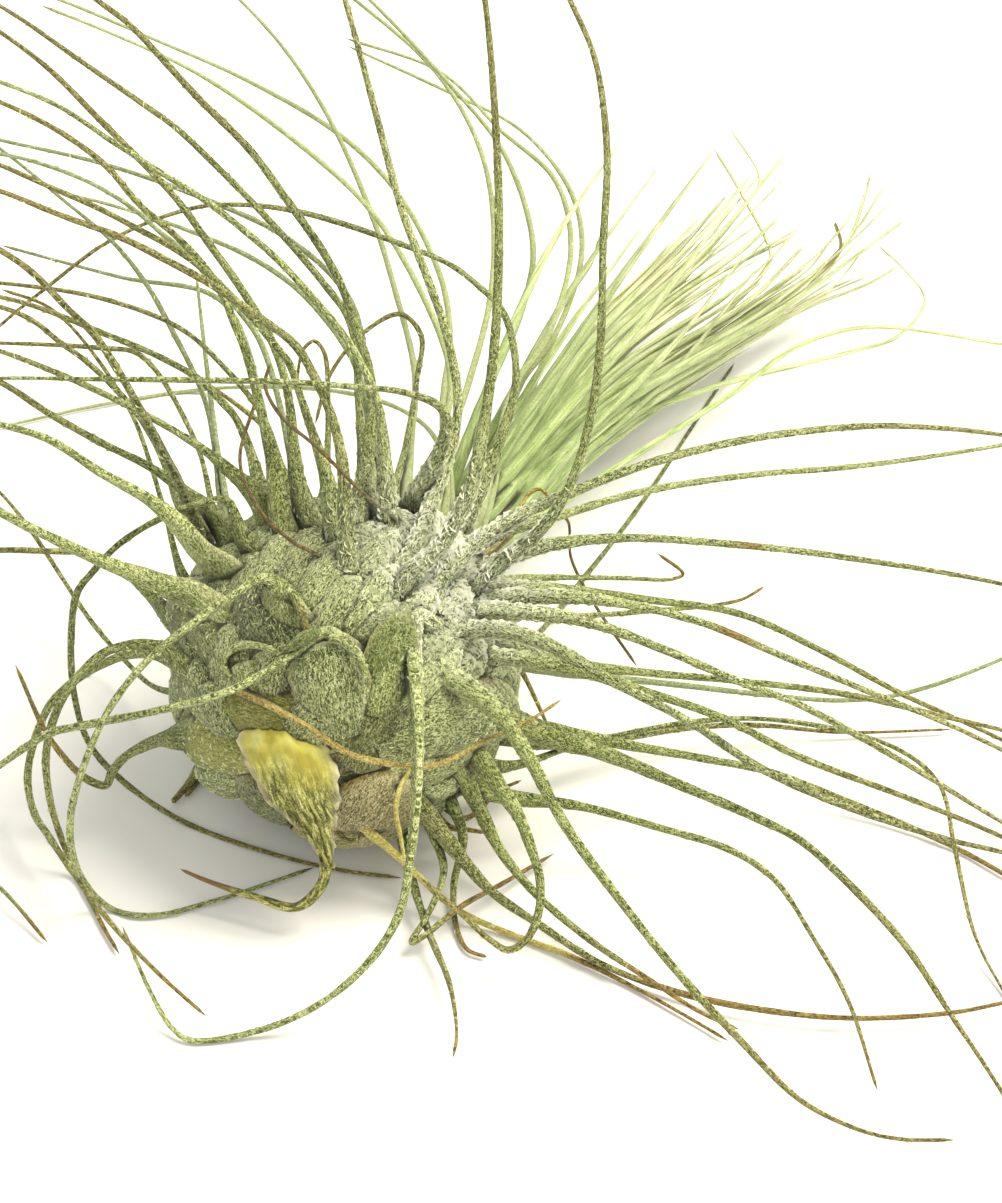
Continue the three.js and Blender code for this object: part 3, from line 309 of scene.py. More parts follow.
# %% The short and the far leaves that grow from the bulb in one piece with it
bulb_leaves = [leaf(*row) for row in (
    ("far_1", "far", [445,520, 450,440, 468,385, 490,300, 494,230, 485,165, 462,110, 425,60,
      355,0, 300,-40],
      [6, 20, 32, 38, 40, 40], (3, 10, 0.95, 0.66)),
    ("far_2", "far", [460,530, 485,400, 522,310, 533,245, 505,155, 450,85, 370,0, 320,-45],
      [4, 18, 28, 34, 38, 40], (3, 10, 0.95, 0.66)),
    ("far_3", "far", [470,530, 515,385, 548,335, 571,245, 555,180, 500,130, 440,72, 345,38],
      [4, 22, 34, 42, 46], (3, 10, 0.95, 0.66)),
    ("far_4", "far", [475,535, 520,385, 555,335, 582,250, 570,190, 520,130, 450,93, 345,45],
      [6, 28, 40, 48, 52], (3, 10, 0.95, 0.66)),
    ("far_5", "far", [480,540, 530,400, 560,310, 592,262, 600,235],
      [8, 32, 46, 50], (3, 10, 0.9, 0.66)),
    ("far_6", "far", [400,520, 412,430, 415,375, 395,290, 370,210, 330,120, 285,50, 240,0,
      200,-35],
      [2, 16, 30, 38, 44, 46], (3, 10, 0.9, 0.66)),
    ("far_7", "far", [430,520, 445,430, 450,370, 420,290, 370,210, 300,145, 200,75, 110,33,
      40,5],
      [4, 16, 26, 34, 38, 40], (3, 10, 0.9, 0.66)),
    ("far_8", "far", [440,525, 443,400, 450,335, 440,275, 395,190, 340,135, 250,82, 160,42, 60,0,
      0,-20],
      [4, 24, 36, 44, 48, 50], (3, 10, 0.9, 0.66)),
    ("far_9", "bluish", [300,520, 290,450, 262,345, 245,318, 222,292, 185,252, 160,232, 135,210,
      95,185, 45,165, 0,154, -70,150],
      [2, 10, 15, 17, 18, 18], (3.4, 10, 0.85, 0.66)),
    ("far_10", "bluish", [378,520, 370,440, 362,385, 350,355, 330,325, 295,287, 250,257, 200,235,
      150,217, 100,202, 60,193],
      [2, 14, 20, 24, 26], (3.2, 10, 0.85, 0.66)),
    ("hook_1", "green", [396,545, 395,490, 407,440, 417,380, 421,335, 400,314, 361,335, 330,375,
      315,425],
      [-4, 7, 12, 14, 14, 13], (4, 10, 0.8, 0.66)),
    ("hook_2", "green", [326,540, 326,490, 328,420, 324,352, 314,341, 303,350, 296,385],
      [-3, 5, 8, 9], (4, 10, 0.7, 0.66)),
    ("hook_3", "dry", [500,540, 518,514, 528,495, 540,489, 550,498], [4, 6, 8, 8],
      (2, 5, 0.7, 0.66)),
    ("inner_left_1", "bluish", [232,540, 226,497, 218,450, 206,360, 196,270],
      [1, 9, 14, 18], (3.6, 9, 0.8, 0.66)),
    ("inner_left_2", "bluish", [232,540, 205,400, 172,330, 145,282, 113,242, 60,197, 15,160,
      -40,120],
      [2, 14, 18, 20, 22], (3.4, 9, 0.8, 0.66)),
    ("inner_left_3", "green", [300,535, 285,480, 262,415, 225,368, 180,328, 100,298, 0,283,
      -60,280],
      [0, 9, 13, 15, 16], (3.6, 9, 0.8, 0.66)),
    ("inner_left_4", "bluish", [275,530, 262,400, 220,300, 120,277, 0,245],
      [4, 18, 24, 26], (3.4, 9, 0.75, 0.66)),
    ("inner_left_5", "green", [225,545, 195,440, 140,355, 100,348, 0,343, -70,342],
      [3, 12, 15, 16], (3.4, 9, 0.75, 0.66)),
    ("inner_left_6", "green", [212,600, 187,582, 165,512, 150,462, 135,420, 107,372, 70,325,
      45,305, 0,289],
      [4, 8, 10, 12, 14], (3.4, 9, 0.75, 0.66)),
    ("inner_left_7", "green", [300,520, 285,480, 275,450, 262,425, 240,407, 205,382],
      [1, 5, 8], (3.6, 9, 0.8, 0.66)),
    ("inner_left_8", "bluish", [385,510, 370,400, 350,300, 290,240, 200,197, 100,163, 0,140,
      -60,125],
      [3, 16, 22, 26, 28], (3, 9, 0.85, 0.66)),
    ("far_low_1", "far", [445,535, 436,440, 385,403, 300,388, 200,390, 100,405, 0,427, -70,440],
      [8, 34, 54, 60, 60], (3, 10, 0.8, 0.66)),
    ("far_low_2", "deep", [490,655, 530,640, 590,570, 640,505, 690,430, 735,362],
      [4, 24, 36, 44, 52, 60], (3.4, 8, 0.9, 0.66)),
    ("far_low_3", "green", [490,640, 522,672, 547,724],
      [2, 14, 18], (3.4, 6, 0.85, 0.7)),
    ("far_low_4", "pale", [470,590, 520,579, 620,578, 672,579, 683,574, 657,553],
      [2, 10, 14, 15], (3, 10, 0.7, 0.66)),
    ("far_low_5", "green", [480,610, 560,616, 650,611, 740,600, 765,586],
      [2, 12, 17, 20], (3, 10, 0.75, 0.66)),
    ("far_low_6", "bluish", [490,655, 560,671, 680,685, 800,698, 850,700, 910,692, 1002,659,
      1080,620],
      [3, 9, 13, 15, 15], (3.4, 12, 0.85, 0.66)),
    ("far_low_7", "green", [455,750, 500,766, 600,738, 740,718, 830,728, 900,750, 940,785,
      955,850, 975,935, 1002,988, 1030,1030],
      [-2, 6, 10, 10, 6, -1, -9, -14], (3.4, 12, 0.8, 0.66)),
    ("far_low_8", "olive", [480,730, 540,744, 600,742, 690,728, 755,725, 840,732, 955,729],
      [1, 8, 12, 13], (3.2, 12, 0.75, 0.66)),
    ("under_left_1", "green", [232,745, 205,760, 190,782, 172,803],
      [2, 6, 9], [0, 3, 4, 2, 6, 1.4, END, 1]),
    ("under_left_2", "green", [240,755, 212,766, 200,778, 185,797],
      [5, 9, 12], [0, 3, 4, 1.6, END, 0.9]),
    ("under_left_3", "green", [215,665, 178,690, 155,687, 125,660, 92,622, 62,577, 32,532, 0,492,
      -60,440],
      [4, 16, 20, 24, 28], (3.4, 8, 0.8, 0.66)),
    ("under_left_4", "olive", [326,806, 334,826, 346,840, 359,838, 366,822], [-6, -8.5, -9, -8.5],
      (1.6, 5, 0.7, 0.66)),
    ("under_right_1", "green", [436,775, 450,800, 463,835, 454,885, 456,925, 468,950, 487,957],
      [-4, -6, -5, -4, -6, -8], (3.6, 8, 0.95, 0.7)),
    ("under_right_2", "green", [420,790, 432,830, 444,870, 428,915, 412,942, 425,935, 460,907,
      500,885, 555,853],
      [-4, -7, -8, -10, -8, -4, 0], (3.6, 8, 0.9, 0.66)),
    ("under_right_3", "green", [398,800, 410,870, 428,930, 450,985, 457,1035, 453,1058],
      [-3, -5, -9, -15, -21], (3.8, 9, 0.95, 0.7)),
    ("under_right_4", "olive", [425,800, 448,826, 470,830, 488,833],
      [-2, -2, -1], (3, 4, 0.9, 0.7)),
    ("under_right_5", "olive", [440,800, 465,818, 500,790, 522,780],
      [-1, 0, 1], (3, 5, 0.7, 0.66)),
)]
print("leaves of the bulb's own piece:", len(bulb_leaves))

# %% The young leaves of the heart, and the dry remains
heart_forms = [
    ([462,520, 550,380, 650,270, 700,218],
      [14, 36, 50, 58], (2.4, 20, 1.5, 0.8)),
    ([478,510, 600,320, 660,270, 727,195],
      [14, 38, 52, 60], (2.4, 20, 1.5, 0.8)),
    ([470,520, 600,345, 710,245, 785,155],
      [12, 34, 50, 62], (2.4, 20, 1.4, 0.7)),
    ([490,510, 640,330, 745,205, 760,180, 730,128],
      [12, 34, 50, 58, 60], (2.4, 20, 1.3, 0.66)),
    ([485,520, 600,400, 710,325, 765,270, 771,255, 745,200, 713,147],
      [10, 30, 46, 56, 60], (2.4, 20, 1.3, 0.66)),
    ([488,505, 600,370, 690,290, 795,235],
      [16, 36, 50, 60], (2.4, 20, 1.5, 0.8)),
    ([492,520, 640,325, 740,252, 782,215],
      [14, 36, 48, 58], (2.4, 20, 1.5, 0.8)),
    ([480,520, 620,380, 750,300, 805,245],
      [12, 32, 48, 56], (2.6, 24, 1.6, 0.8)),
    ([475,530, 560,445, 720,340, 840,250, 835,222],
      [10, 28, 44, 56, 60], (2.8, 26, 1.6, 0.8)),
    ([492,530, 620,405, 740,320, 845,245, 872,172],
      [12, 32, 48, 58, 62], (2.6, 26, 1.3, 0.66)),
    ([498,530, 630,400, 760,320, 850,238, 885,185],
      [14, 34, 50, 60, 64], (2.6, 26, 1.3, 0.66)),
    ([495,535, 600,420, 780,310, 905,220],
      [10, 26, 46, 62], (2.6, 24, 1.4, 0.66)),
    ([495,540, 620,430, 790,315, 870,283, 900,265],
      [12, 30, 46, 58, 64], (2.6, 24, 1.4, 0.66)),
    ([488,545, 600,435, 720,385, 850,352, 900,335, 925,300, 905,270,
      878,245],
      [8, 24, 40, 52, 58, 60], (2.6, 20, 1.0, 0.66)),
    ([490,550, 620,465, 740,388, 800,345, 870,327, 1002,344, 1060,352],
      [6, 20, 36, 46, 52, 56], (2.6, 20, 0.9, 0.66)),
]
heart_leaves = [leaf(f"heart_{n}", "heart", *form) for n, form in enumerate(heart_forms, 1)]
dry_leaves = [leaf(*row) for row in (
    ("dry_strip", "dry", [236,688, 262,701, 300,722, 350,754, 385,763, 410,766, 440,764, 490,738,
      530,720, 562,699],
      [-14, -17.5, -18.5, -18, -16, -13.5, -12, -12], (1.4, 8, 0.8, 0.66)),
    ("dry_thread_1", "brown", [402,530, 395,518, 365,495, 320,450, 280,415, 265,385, 270,364],
      [seat, -16.5, -19.5, -17, -13, -10], (1, 4, 0.7, 0.66)),
    ("dry_thread_2", "brown", [330,572, 318,556, 290,540, 258,508, 240,460, 256,400],
      [seat, -15, -15, -13, -12], (1, 4, 0.7, 0.66)),
    ("dry_thread_3", "brown", [485,560, 540,516, 567,520, 571,558, 592,600, 638,668],
      [4, 10, 16, 18, 20, 22], (1, 4, 0.7, 0.66)),
    ("dry_strip_2", "yellow", [414,762, 402,784, 396,808, 401,838, 407,872],
      [-11.5, -12.5, -13, -12.5, -12], (1.2, 4, 0.8, 0.66)),
)]
print("heart:", len(heart_leaves), "dry:", len(dry_leaves))

# %% [markdown]
# A leaf's middle line is a smooth curve through its places. A centripetal Catmull-Rom curve passes
# through every place and never loops between two that are close, which a plain spline does where
# a thread bends sharply. It is laid out here in numbers, because a loft needs the exact direction
# at every ring.

# %% Middle lines
SAMPLES_PER_SPAN = 24
ROOT_DEPTH = 0.84  # of the bulb's radius: where a leaf starts that has no seat


def smooth_curve(places):
    """Dense points of the centripetal Catmull-Rom curve through these places."""
    places = [np.asarray(p, float) for p in places]
    ends = [2 * places[0] - places[1]] + places + [2 * places[-1] - places[-2]]
    share = np.linspace(0, 1, SAMPLES_PER_SPAN, endpoint=False)[:, None]
    spans = []
    for a, b, c, d in zip(ends, ends[1:], ends[2:], ends[3:]):
        ab, bc, cd = (max(np.linalg.norm(q - p), 1e-6) ** 0.5 for p, q in ((a, b), (b, c), (c, d)))
        start = ((b - a) / ab - (c - a) / (ab + bc) + (c - b) / bc) * bc
        stop = ((c - b) / bc - (d - b) / (bc + cd) + (d - c) / cd) * bc
        square = -3 * b + 3 * c - 2 * start - stop
        cube = 2 * b - 2 * c + start + stop
        spans.append(b + start * share + square * share**2 + cube * share**3)
    return np.vstack(spans + [places[-1][None]])


def along_curve(points):
    """How far along a row of points each one is."""
    steps = np.linalg.norm(np.diff(points, axis=0), axis=1)
    return np.concatenate([[0], np.cumsum(steps)])


def at_distances(points, walked, wanted):
    """The points of a row at the wanted distances along it."""
    return np.stack([np.interp(wanted, walked, points[:, k]) for k in range(3)], axis=1)


def traced_line(one):
    """A traced leaf's middle line as dense points, from root to tip."""
    places = pairs(one["trace"])
    walked = along_curve(np.array(places, float))
    first = face_behind(*places[0])
    stops = [first if value is seat else value for value in one["behind"]]
    depths = np.interp(walked / walked[-1], np.linspace(0, 1, len(stops)), stops)
    points = [seen_point(x, y, depth) for (x, y), depth in zip(places, depths)]
    if one["behind"][0] is not seat:
        points.insert(0, BULB_CENTRE + unit(points[0] - BULB_CENTRE) * (BULB_ACROSS * ROOT_DEPTH))
    return smooth_curve(points)


def face_line(trace, clear=0.0):
    """A traced line over the near side of the bulb, so far off it."""
    return smooth_curve([seen_point(x, y, face_behind(x, y) - clear) for x, y in pairs(trace)])


print("first leaf:", round(along_curve(traced_line(large_leaves[0]))[-1], 1), "mm long")

# %% [markdown]
# A leaf of this plant is a gutter. Its base is a thin curved sheath, its blade is a half-round
# thread with a groove along the inner face. One loft does both: rings of points that change from
# the arched sheath to the grooved thread as the leaf narrows. A bevelled curve would be quicker
# to make, but its section can't change from one form to the other.

# %% The section of a leaf
SECTION_POINTS = 14
CLOCK = np.linspace(0, 2 * math.pi, SECTION_POINTS, endpoint=False)
SHEATH_FROM, SHEATH_FULL = 1.7, 3.4  # mm wide: where the thread's section turns into the sheath's
THREAD_OUT, THREAD_IN = 0.46, 0.44  # of its width: how far a thread stands out on its two faces
GROOVE_DEEP, GROOVE_WIDE = 0.8, 0.75  # of a thread's inner face and of its half width
ARCH, ARCH_DOWN = 0.2, 0.55  # of a sheath's width, and how much of the arch lies below its line
SKIN_THIN, SKIN_MORE = 0.5, 0.05  # mm, and of its width: how thick a sheath is


def eased(value, low, high):
    """0 below low, 1 above high, and smooth between them."""
    t = np.clip((value - low) / (high - low), 0, 1)
    return t * t * (3 - 2 * t)


def leaf_section(width):
    """Points across and out, in mm, of a leaf that is this wide."""
    across, round_out = np.cos(CLOCK), np.sin(CLOCK)
    groove = 1 - GROOVE_DEEP * np.clip(1 - np.abs(across) / GROOVE_WIDE, 0, 1)
    thread = np.where(round_out > 0, THREAD_OUT, THREAD_IN * groove) * round_out * width
    arch = ARCH * width
    skin = SKIN_THIN + SKIN_MORE * width
    sheath = arch * (1 - across**2) - ARCH_DOWN * arch + 0.5 * skin * round_out
    share = eased(width, SHEATH_FROM, SHEATH_FULL)
    return 0.5 * width * across, thread * (1 - share) + sheath * share


print("section of a 1 mm thread:", np.round(leaf_section(1.0)[1][:8], 2))

# %% [markdown]
# Each ring also carries what the skins need: how far it is from the root and across the leaf, so
# that the silver scales follow the blade, and four marks. They are how brown it is, how near to
# the thin edge, a number that is the same for the whole leaf, so that no two leaves are the same
# green, and how thick the scales lie. On the real plant they lie thickest round the crown, where
# water collects between the leaves.

# %% Parts of a mesh
leaf_draws = random.Random(4711)


class Part:
    """Points, faces and marks of one leaf, in mm, before it becomes a mesh. lie holds how far each
    point is along and across the leaf, outward is the way its skin looks, and crease is how
    shut-in it is, which is measured later and sets how much shade is painted on it."""

    def __init__(self, points, faces, brown, edge, hue, coat, lie, outward, skin):
        self.points, self.faces, self.skin = points, faces, skin
        self.marks = np.stack([brown, edge, np.full(len(points), hue), coat], axis=1)
        self.lie, self.outward = lie, outward
        self.crease = np.zeros(len(points))


CROWN_PLACE = seen_point(446, 574, face_behind(446, 574))
COAT_NEAR, COAT_FAR = 5.0, 16.0  # mm from the crown: where the coat of scales is full, and thin


def crown_coat(points):
    """How thick the scales lie at these points, by their distance from the crown."""
    return 1 - eased(np.linalg.norm(points - CROWN_PLACE, axis=1), COAT_NEAR, COAT_FAR)


def ring_faces(rings, sides, closed=True):
    """The four-cornered faces between rings of points, which are closed tubes or open strips."""
    faces = []
    for r in range(rings - 1):
        for s in range(sides if closed else sides - 1):
            n = (s + 1) % sides
            a, b = r * sides, (r + 1) * sides
            faces.append((a + s, a + n, b + n, b + s))
    return faces


def tube_faces(rings, sides):
    """The faces of a closed tube. The points of its root and its tip come after the rings."""
    root, tip, last = rings * sides, rings * sides + 1, (rings - 1) * sides
    faces = ring_faces(rings, sides)
    faces += [(root, (s + 1) % sides, s) for s in range(sides)]
    return faces + [(tip, last + s, last + (s + 1) % sides) for s in range(sides)]


def cup_faces(rows, columns, flip=False):
    """The faces of a skin's outer and inner side, and of the rim that joins them."""
    count = rows * columns
    faces = []
    for a, b, c, d in ring_faces(rows, columns, closed=False):
        if flip:
            b, d = d, b
        faces += [(a, d, c, b), (count + a, count + b, count + c, count + d)]
    rim = list(range(columns)) + [r * columns + columns - 1 for r in range(1, rows)]
    rim += [count - 1 - i for i in range(1, columns)]
    rim += [r * columns for r in range(rows - 2, 0, -1)]
    for a, b in zip(rim, rim[1:] + rim[:1]):
        if flip:
            a, b = b, a
        faces.append((a, b, b + count, a + count))
    return faces


print("full coat of scales within", COAT_NEAR, "mm of", np.round(CROWN_PLACE, 1))

# %% The loft of a leaf
BASE_RUN, BASE_STEP = 20, 0.7  # mm from the root, and between the rings there
FINEST_TURN = 0.12  # radians between rings in a bend
AIM = 0.2  # mm before and behind a ring, which give it its direction
THREAD_FINE = 0.72  # the solids are stouter than the real threads, so that they can be built
FINE_BELOW, FINE_ABOVE = 2.2, 5.0  # mm wide: threads are made finer, and sheaths aren't
TIP_TAPER, WAVER = 0.3, 0.04  # of its width: how a leaf narrows to its tip, and isn't quite even
TURN = 6.28  # radians
TURN_SHORT, TURN_MORE = 18, 22  # mm: a leaf twists to and fro on 18 mm and up to 22 mm more
HUE_APART = 90  # mm: how far apart in the patterns leaves lie, so that no two have the same marks
YELLOWING = {"silver": 0.3, "green": 0.42, "olive": 0.5}  # how far the tips have turned to straw
TABLE_CLEAR = 0.05  # mm


def outer_side(point, forward):
    """The outer face of a leaf turns away from the bulb and from the crown."""
    side = unit(point - BULB_CENTRE) - STEM
    return unit(side - forward * (side @ forward))


def ring_distances(line, walked, longest_step):
    """Rings stand close along the base and in the bends, and wider apart in a straight thread."""
    ahead = np.diff(line, axis=0) / np.maximum(np.diff(walked), 1e-9)[:, None]
    turns = np.arccos(np.clip(np.sum(ahead[1:] * ahead[:-1], axis=1), -1, 1))
    rings = np.diff(walked) / np.where(walked[1:] < BASE_RUN, BASE_STEP, longest_step)
    rings[1:] += turns / FINEST_TURN
    counted = np.concatenate([[0], np.cumsum(rings)])
    wanted = np.linspace(0, counted[-1], int(counted[-1]) + 3)[:-1]
    return np.interp(wanted, counted, walked)


def blade(line, widths, skin, brown_from=2.0, brown_most=1.0, finest=0.34, twist=0.5, far_step=1.5,
          hue=None, spots=(), fade=False):
    """The loft of one leaf along its middle line. brown_from is the share of its length from which
    it has dried, and spots are dried places on the way. far_step is the mm between rings in a
    straight thread. With a fade, the coat of scales grows to the tip."""
    walked = along_curve(line)
    length = walked[-1]
    distances = ring_distances(line, walked, far_step)
    middles = at_distances(line, walked, distances)
    ahead = at_distances(line, walked, np.minimum(distances + AIM, length))
    behind = at_distances(line, walked, np.maximum(distances - AIM, 0))
    broad = np.interp(distances, widths[0::2], widths[1::2])
    shares = distances / length
    # The last width is the one at the tip, however long the leaf is.
    ends = np.interp(distances, [widths[-4], length], [widths[-3], widths[-1]])
    broad = np.where(distances > widths[-4], ends, broad)
    broad = broad * (1 - TIP_TAPER * eased(shares, 0.55, 1))
    broad = broad * (THREAD_FINE + (1 - THREAD_FINE) * eased(broad, FINE_BELOW, FINE_ABOVE))
    waver = 1 + WAVER * np.sin(distances * 1.7 + leaf_draws.random() * 6)
    broad = np.maximum(broad, finest) * waver
    turn_length = TURN_SHORT + TURN_MORE * leaf_draws.random()
    turn_start = leaf_draws.random() * TURN
    hue = leaf_draws.random() if hue is None else hue
    apart = hue * HUE_APART
    points, looks, brown, edge, lie = [], [], [], [], []
    outer = None
    for distance, share, middle, front, back, width in zip(
            distances, shares, middles, ahead, behind, broad):
        forward = unit(front - back)
        if outer is None:
            outer = outer_side(middle, forward)
        outer = unit(outer - forward * (outer @ forward))
        across = np.cross(forward, outer)
        angle = twist * eased(distance, 8, 26) * math.sin(distance / turn_length * TURN + turn_start)
        side = across * math.cos(angle) + outer * math.sin(angle)
        out = outer * math.cos(angle) - across * math.sin(angle)
        a, o = leaf_section(width)
        ring = side * a[:, None] + out * o[:, None]
        points.append(middle + ring)
        looks.append(ring / np.linalg.norm(ring, axis=1)[:, None])
        dried = max(brown_most * eased(share, brown_from - 0.05, brown_from + 0.08),
                    YELLOWING.get(skin, 0) * eased(share, 0.35, 1))
        for spot in spots:
            dried = max(dried, 0.85 - 0.45 * np.linalg.norm(middle - spot))
        brown.append(np.full(SECTION_POINTS, dried))
        edge.append(np.abs(np.cos(CLOCK)) ** 6 * eased(width, 1.8, 3.2))
        lie.append([(distance, aside, apart) for aside in a])
    faces = tube_faces(len(points), SECTION_POINTS)
    start, finish = unit(ahead[0] - behind[0]), unit(ahead[-1] - behind[-1])
    points = np.vstack(points + [middles[0] - start * 0.3, line[-1]])
    looks = np.vstack(looks + [-start, finish])
    brown = np.concatenate(brown + [[0.0], [brown[-1][0]]])
    edge = np.concatenate(edge + [[0.0, 0.0]])
    lie = np.vstack(lie + [[(0.0, 0.0, apart)], [(length, 0.0, apart)]])
    points[:, 2] = np.maximum(points[:, 2], TABLE_CLEAR)
    coat = eased(lie[:, 0] / length, 0.35, 0.95) if fade else crown_coat(points)
    return Part(points, faces, brown, edge, hue, coat, lie, looks, skin)


print("a leaf's rings stand", BASE_STEP, "mm apart along its base")

# %% [markdown]
# A sheath is a cup of skin that lies on the bulb. Each of its points is dropped onto the bulb's
# egg shape and lifted again by a little: nothing at its foot, where older sheaths cover it, and
# most at its free upper rim. So the sheaths overlap like the scales of an artichoke. Sculpting
# them from one ball would also do, but then no edge would be free and no shadow would fall.

# %% The bulb's surface and the sheaths on it
def on_bulb(point):
    """The point of the bulb's surface under this one, and the way the surface looks there."""
    rel = point - BULB_CENTRE
    ball = to_ball(rel)
    at = rel / np.linalg.norm(ball)
    ball = to_ball(at)
    along = ball @ STEM
    normal = unit((ball - STEM * along) / BULB_ACROSS + STEM * (along / BULB_ALONG))
    return BULB_CENTRE + at, normal


CROWN_UP = unit(np.array([0, 0, 1.0]) - STEM * STEM[2])
CROWN_RIGHT = np.cross(STEM, CROWN_UP)


def across_stem(clock):
    """A direction across the stem, by its angle round it in degrees."""
    angle = math.radians(clock)
    return CROWN_UP * math.cos(angle) + CROWN_RIGHT * math.sin(angle)


def bulb_point(clock, ring, lift=0.0):
    """A place on the bulb: ring is the angle from the root end, clock goes round the stem."""
    angle = math.radians(ring)
    out = across_stem(clock) * (math.sin(angle) * (BULB_ACROSS + lift))
    return BULB_CENTRE + out - STEM * (math.cos(angle) * (BULB_ALONG + lift))


def bulb_place(point):
    """The clock and the ring of a place."""
    ball = to_ball(point - BULB_CENTRE)
    ball = ball / np.linalg.norm(ball)
    ring = math.degrees(math.acos(max(-1, min(1, -ball @ STEM))))
    return math.degrees(math.atan2(ball @ CROWN_RIGHT, ball @ CROWN_UP)), ring


SHEATH_ROWS, SHEATH_COLUMNS = 22, 17
SHEATH_COAT = 0.12  # a sheath keeps at least this share of its scales, more than its thread
RIM_FROM, RIM_LONG = 0.76, 0.24  # of a sheath's length: its end that is rounded off


def spread_over(values, share):
    """The value at a share of a line, from values that are spread evenly over it."""
    return np.interp(share, np.linspace(0, 1, len(values)), values)


def sheath(line, widths, lifts, skin, crown, ripple, skin_thick=0.28, brown=(0, 0), edge_brown=0.0,
           hue=None):
    """A cup of skin on the bulb along a line from its foot to its rim. widths, lifts and brown are
    spread evenly over the line. crown is how far its middle swells, ripple how wavy it is, in mm."""
    walked = along_curve(line)
    shares = np.sin(np.linspace(0, math.pi / 2, SHEATH_ROWS))
    middles = at_distances(line, walked, shares * walked[-1])
    columns = np.sin(np.linspace(-1, 1, SHEATH_COLUMNS) * math.pi / 2)
    hue = leaf_draws.random() if hue is None else hue
    wave = leaf_draws.random() * 6
    tops, unders, looks, marks, edges, lie = [], [], [], [], [], []
    for j, share in enumerate(shares):
        front, back = middles[min(j + 1, SHEATH_ROWS - 1)], middles[max(j - 1, 0)]
        foot, normal = on_bulb(middles[j])
        across = unit(np.cross(front - back, normal))
        rounded = math.sqrt(1.02 - max(0, (share - RIM_FROM) / RIM_LONG) ** 2)
        half = spread_over(widths, share) / 2 * rounded
        lift = spread_over(lifts, share)
        for c in columns:
            shake = ripple * math.sin(c * 5 + share * 9 + wave) * (0.3 + 0.7 * abs(c))
            rise = lift + crown * (1 - c * c) * min(1, half / 2) + shake
            at, up = on_bulb(foot + across * (c * half))
            tops.append(at + up * rise)
            looks.append(up)
            unders.append(at + up * (rise - skin_thick * (1.15 - abs(c) ** 3)))
            marks.append(max(spread_over(brown, share), edge_brown * abs(c) ** 8))
            edges.append(max(abs(c) ** 9, (share > 0.93) * 0.6))
            lie.append((share * walked[-1], c * half, hue * HUE_APART))
    faces = cup_faces(SHEATH_ROWS, SHEATH_COLUMNS)
    points = np.array(tops + unders)
    points[:, 2] = np.maximum(points[:, 2], TABLE_CLEAR)
    coat = np.maximum(crown_coat(points), SHEATH_COAT)
    return Part(points, faces, np.array(marks * 2), np.array(edges * 2), hue, coat,
                np.array(lie * 2), np.array(looks * 2), skin)


def meridian(clock, low, high):
    """A line on the bulb from ring low to ring high."""
    return np.array([bulb_point(clock, ring) for ring in np.linspace(low, high, 24)])


print("points of a sheath:", 2 * SHEATH_ROWS * SHEATH_COLUMNS)

# %% [markdown]
# The skins. A leaf of this plant is a green, waxy blade under a coat of tiny silver scales, each a
# shield about a third of a millimetre long that stands a little off the leaf. Close by they read
# as felt; from an arm's length they turn green into grey. They are drawn here by a noise that is
# stretched along the leaf and also lifts the surface, so the light catches them. A flat colour
# would be quicker, but then the leaf would look like wet plastic.

# %% Colour and node helpers
def linear(text):
    """An sRGB hex colour as linear red, green, blue and 1."""
    parts = [int(text[i:i + 2], 16) / 255 for i in (1, 3, 5)]
    return [p / 12.92 if p <= 0.04045 else ((p + 0.055) / 1.055) ** 2.4 for p in parts] + [1.0]


def new_skin(name):
    """A new material, the tree of its nodes and its shader."""
    skin = bpy.data.materials.new(name)
    skin.use_nodes = True
    return skin, skin.node_tree, skin.node_tree.nodes["Principled BSDF"]


MIXED = 2  # the output of a Mix node that holds its colour


def add_node(tree, kind, links=(), stops=(), inputs=(), **settings):
    """Adds a node with its settings. links maps inputs to other nodes, which stand for their first
    output, or to single outputs. inputs maps inputs to values, and stops are the (place, hex)
    stops of a colour ramp. A Mix node always mixes colours."""
    node = tree.nodes.new("ShaderNode" + kind)
    if kind == "Mix":
        node.data_type = "RGBA"
    for name, value in settings.items():
        setattr(node, name, value)
    for name, source in dict(links).items():
        if isinstance(source, bpy.types.Node):
            source = source.outputs[MIXED if source.bl_idname == "ShaderNodeMix" else 0]
        tree.links.new(source, node.inputs[name])
    for name, value in dict(inputs).items():
        node.inputs[name].default_value = value
    for number, (place, text) in enumerate(stops):
        elements = node.color_ramp.elements
        stop = elements[number] if number < 2 else elements.new(place)
        stop.position, stop.color = place, linear(text)
    return node


print("mid grey in linear light:", round(linear("#808080")[0], 3))

# %% Leaf skin under silver scales
SCALE_LONG, SCALE_WIDE = 0.36, 0.1  # mm: a silver scale as it shows from an arm's length
FELT = 0.12  # mm: the tangle where scales overlap
BLOTCH, BLOTCHY = 4.5, 0.2  # mm and strength: patches where scales have rubbed off
SCALE_HIGH = 0.00024  # m: how far the scales stand up
COATED = ("#222C08", "#67732F", "#DEE4B6")  # shade, skin and silver where the scales lie thick
DRIED = ((0.4, "#4A3A18"), (0.5, "#86702E"), (0.62, "#AE964C"))  # dried skin, from dark to light
EDGE_COLOUR, EDGE_SHOWS = "#D8D3A2", 0.35  # the thin dry edge of a sheath
LEAF_TINTS = (0.84, 1.1)  # the darkest and the lightest leaf of one tone
# Painted shade: the colour and the strength of the shade painted into the creases between the leaves.
CREASE_SHADE_COLOUR = "#2E2C10"
CREASE_FROM, CREASE_FULL, CREASE_MOST = 0.08, 0.55, 0.9  # where creases begin and end, how dark


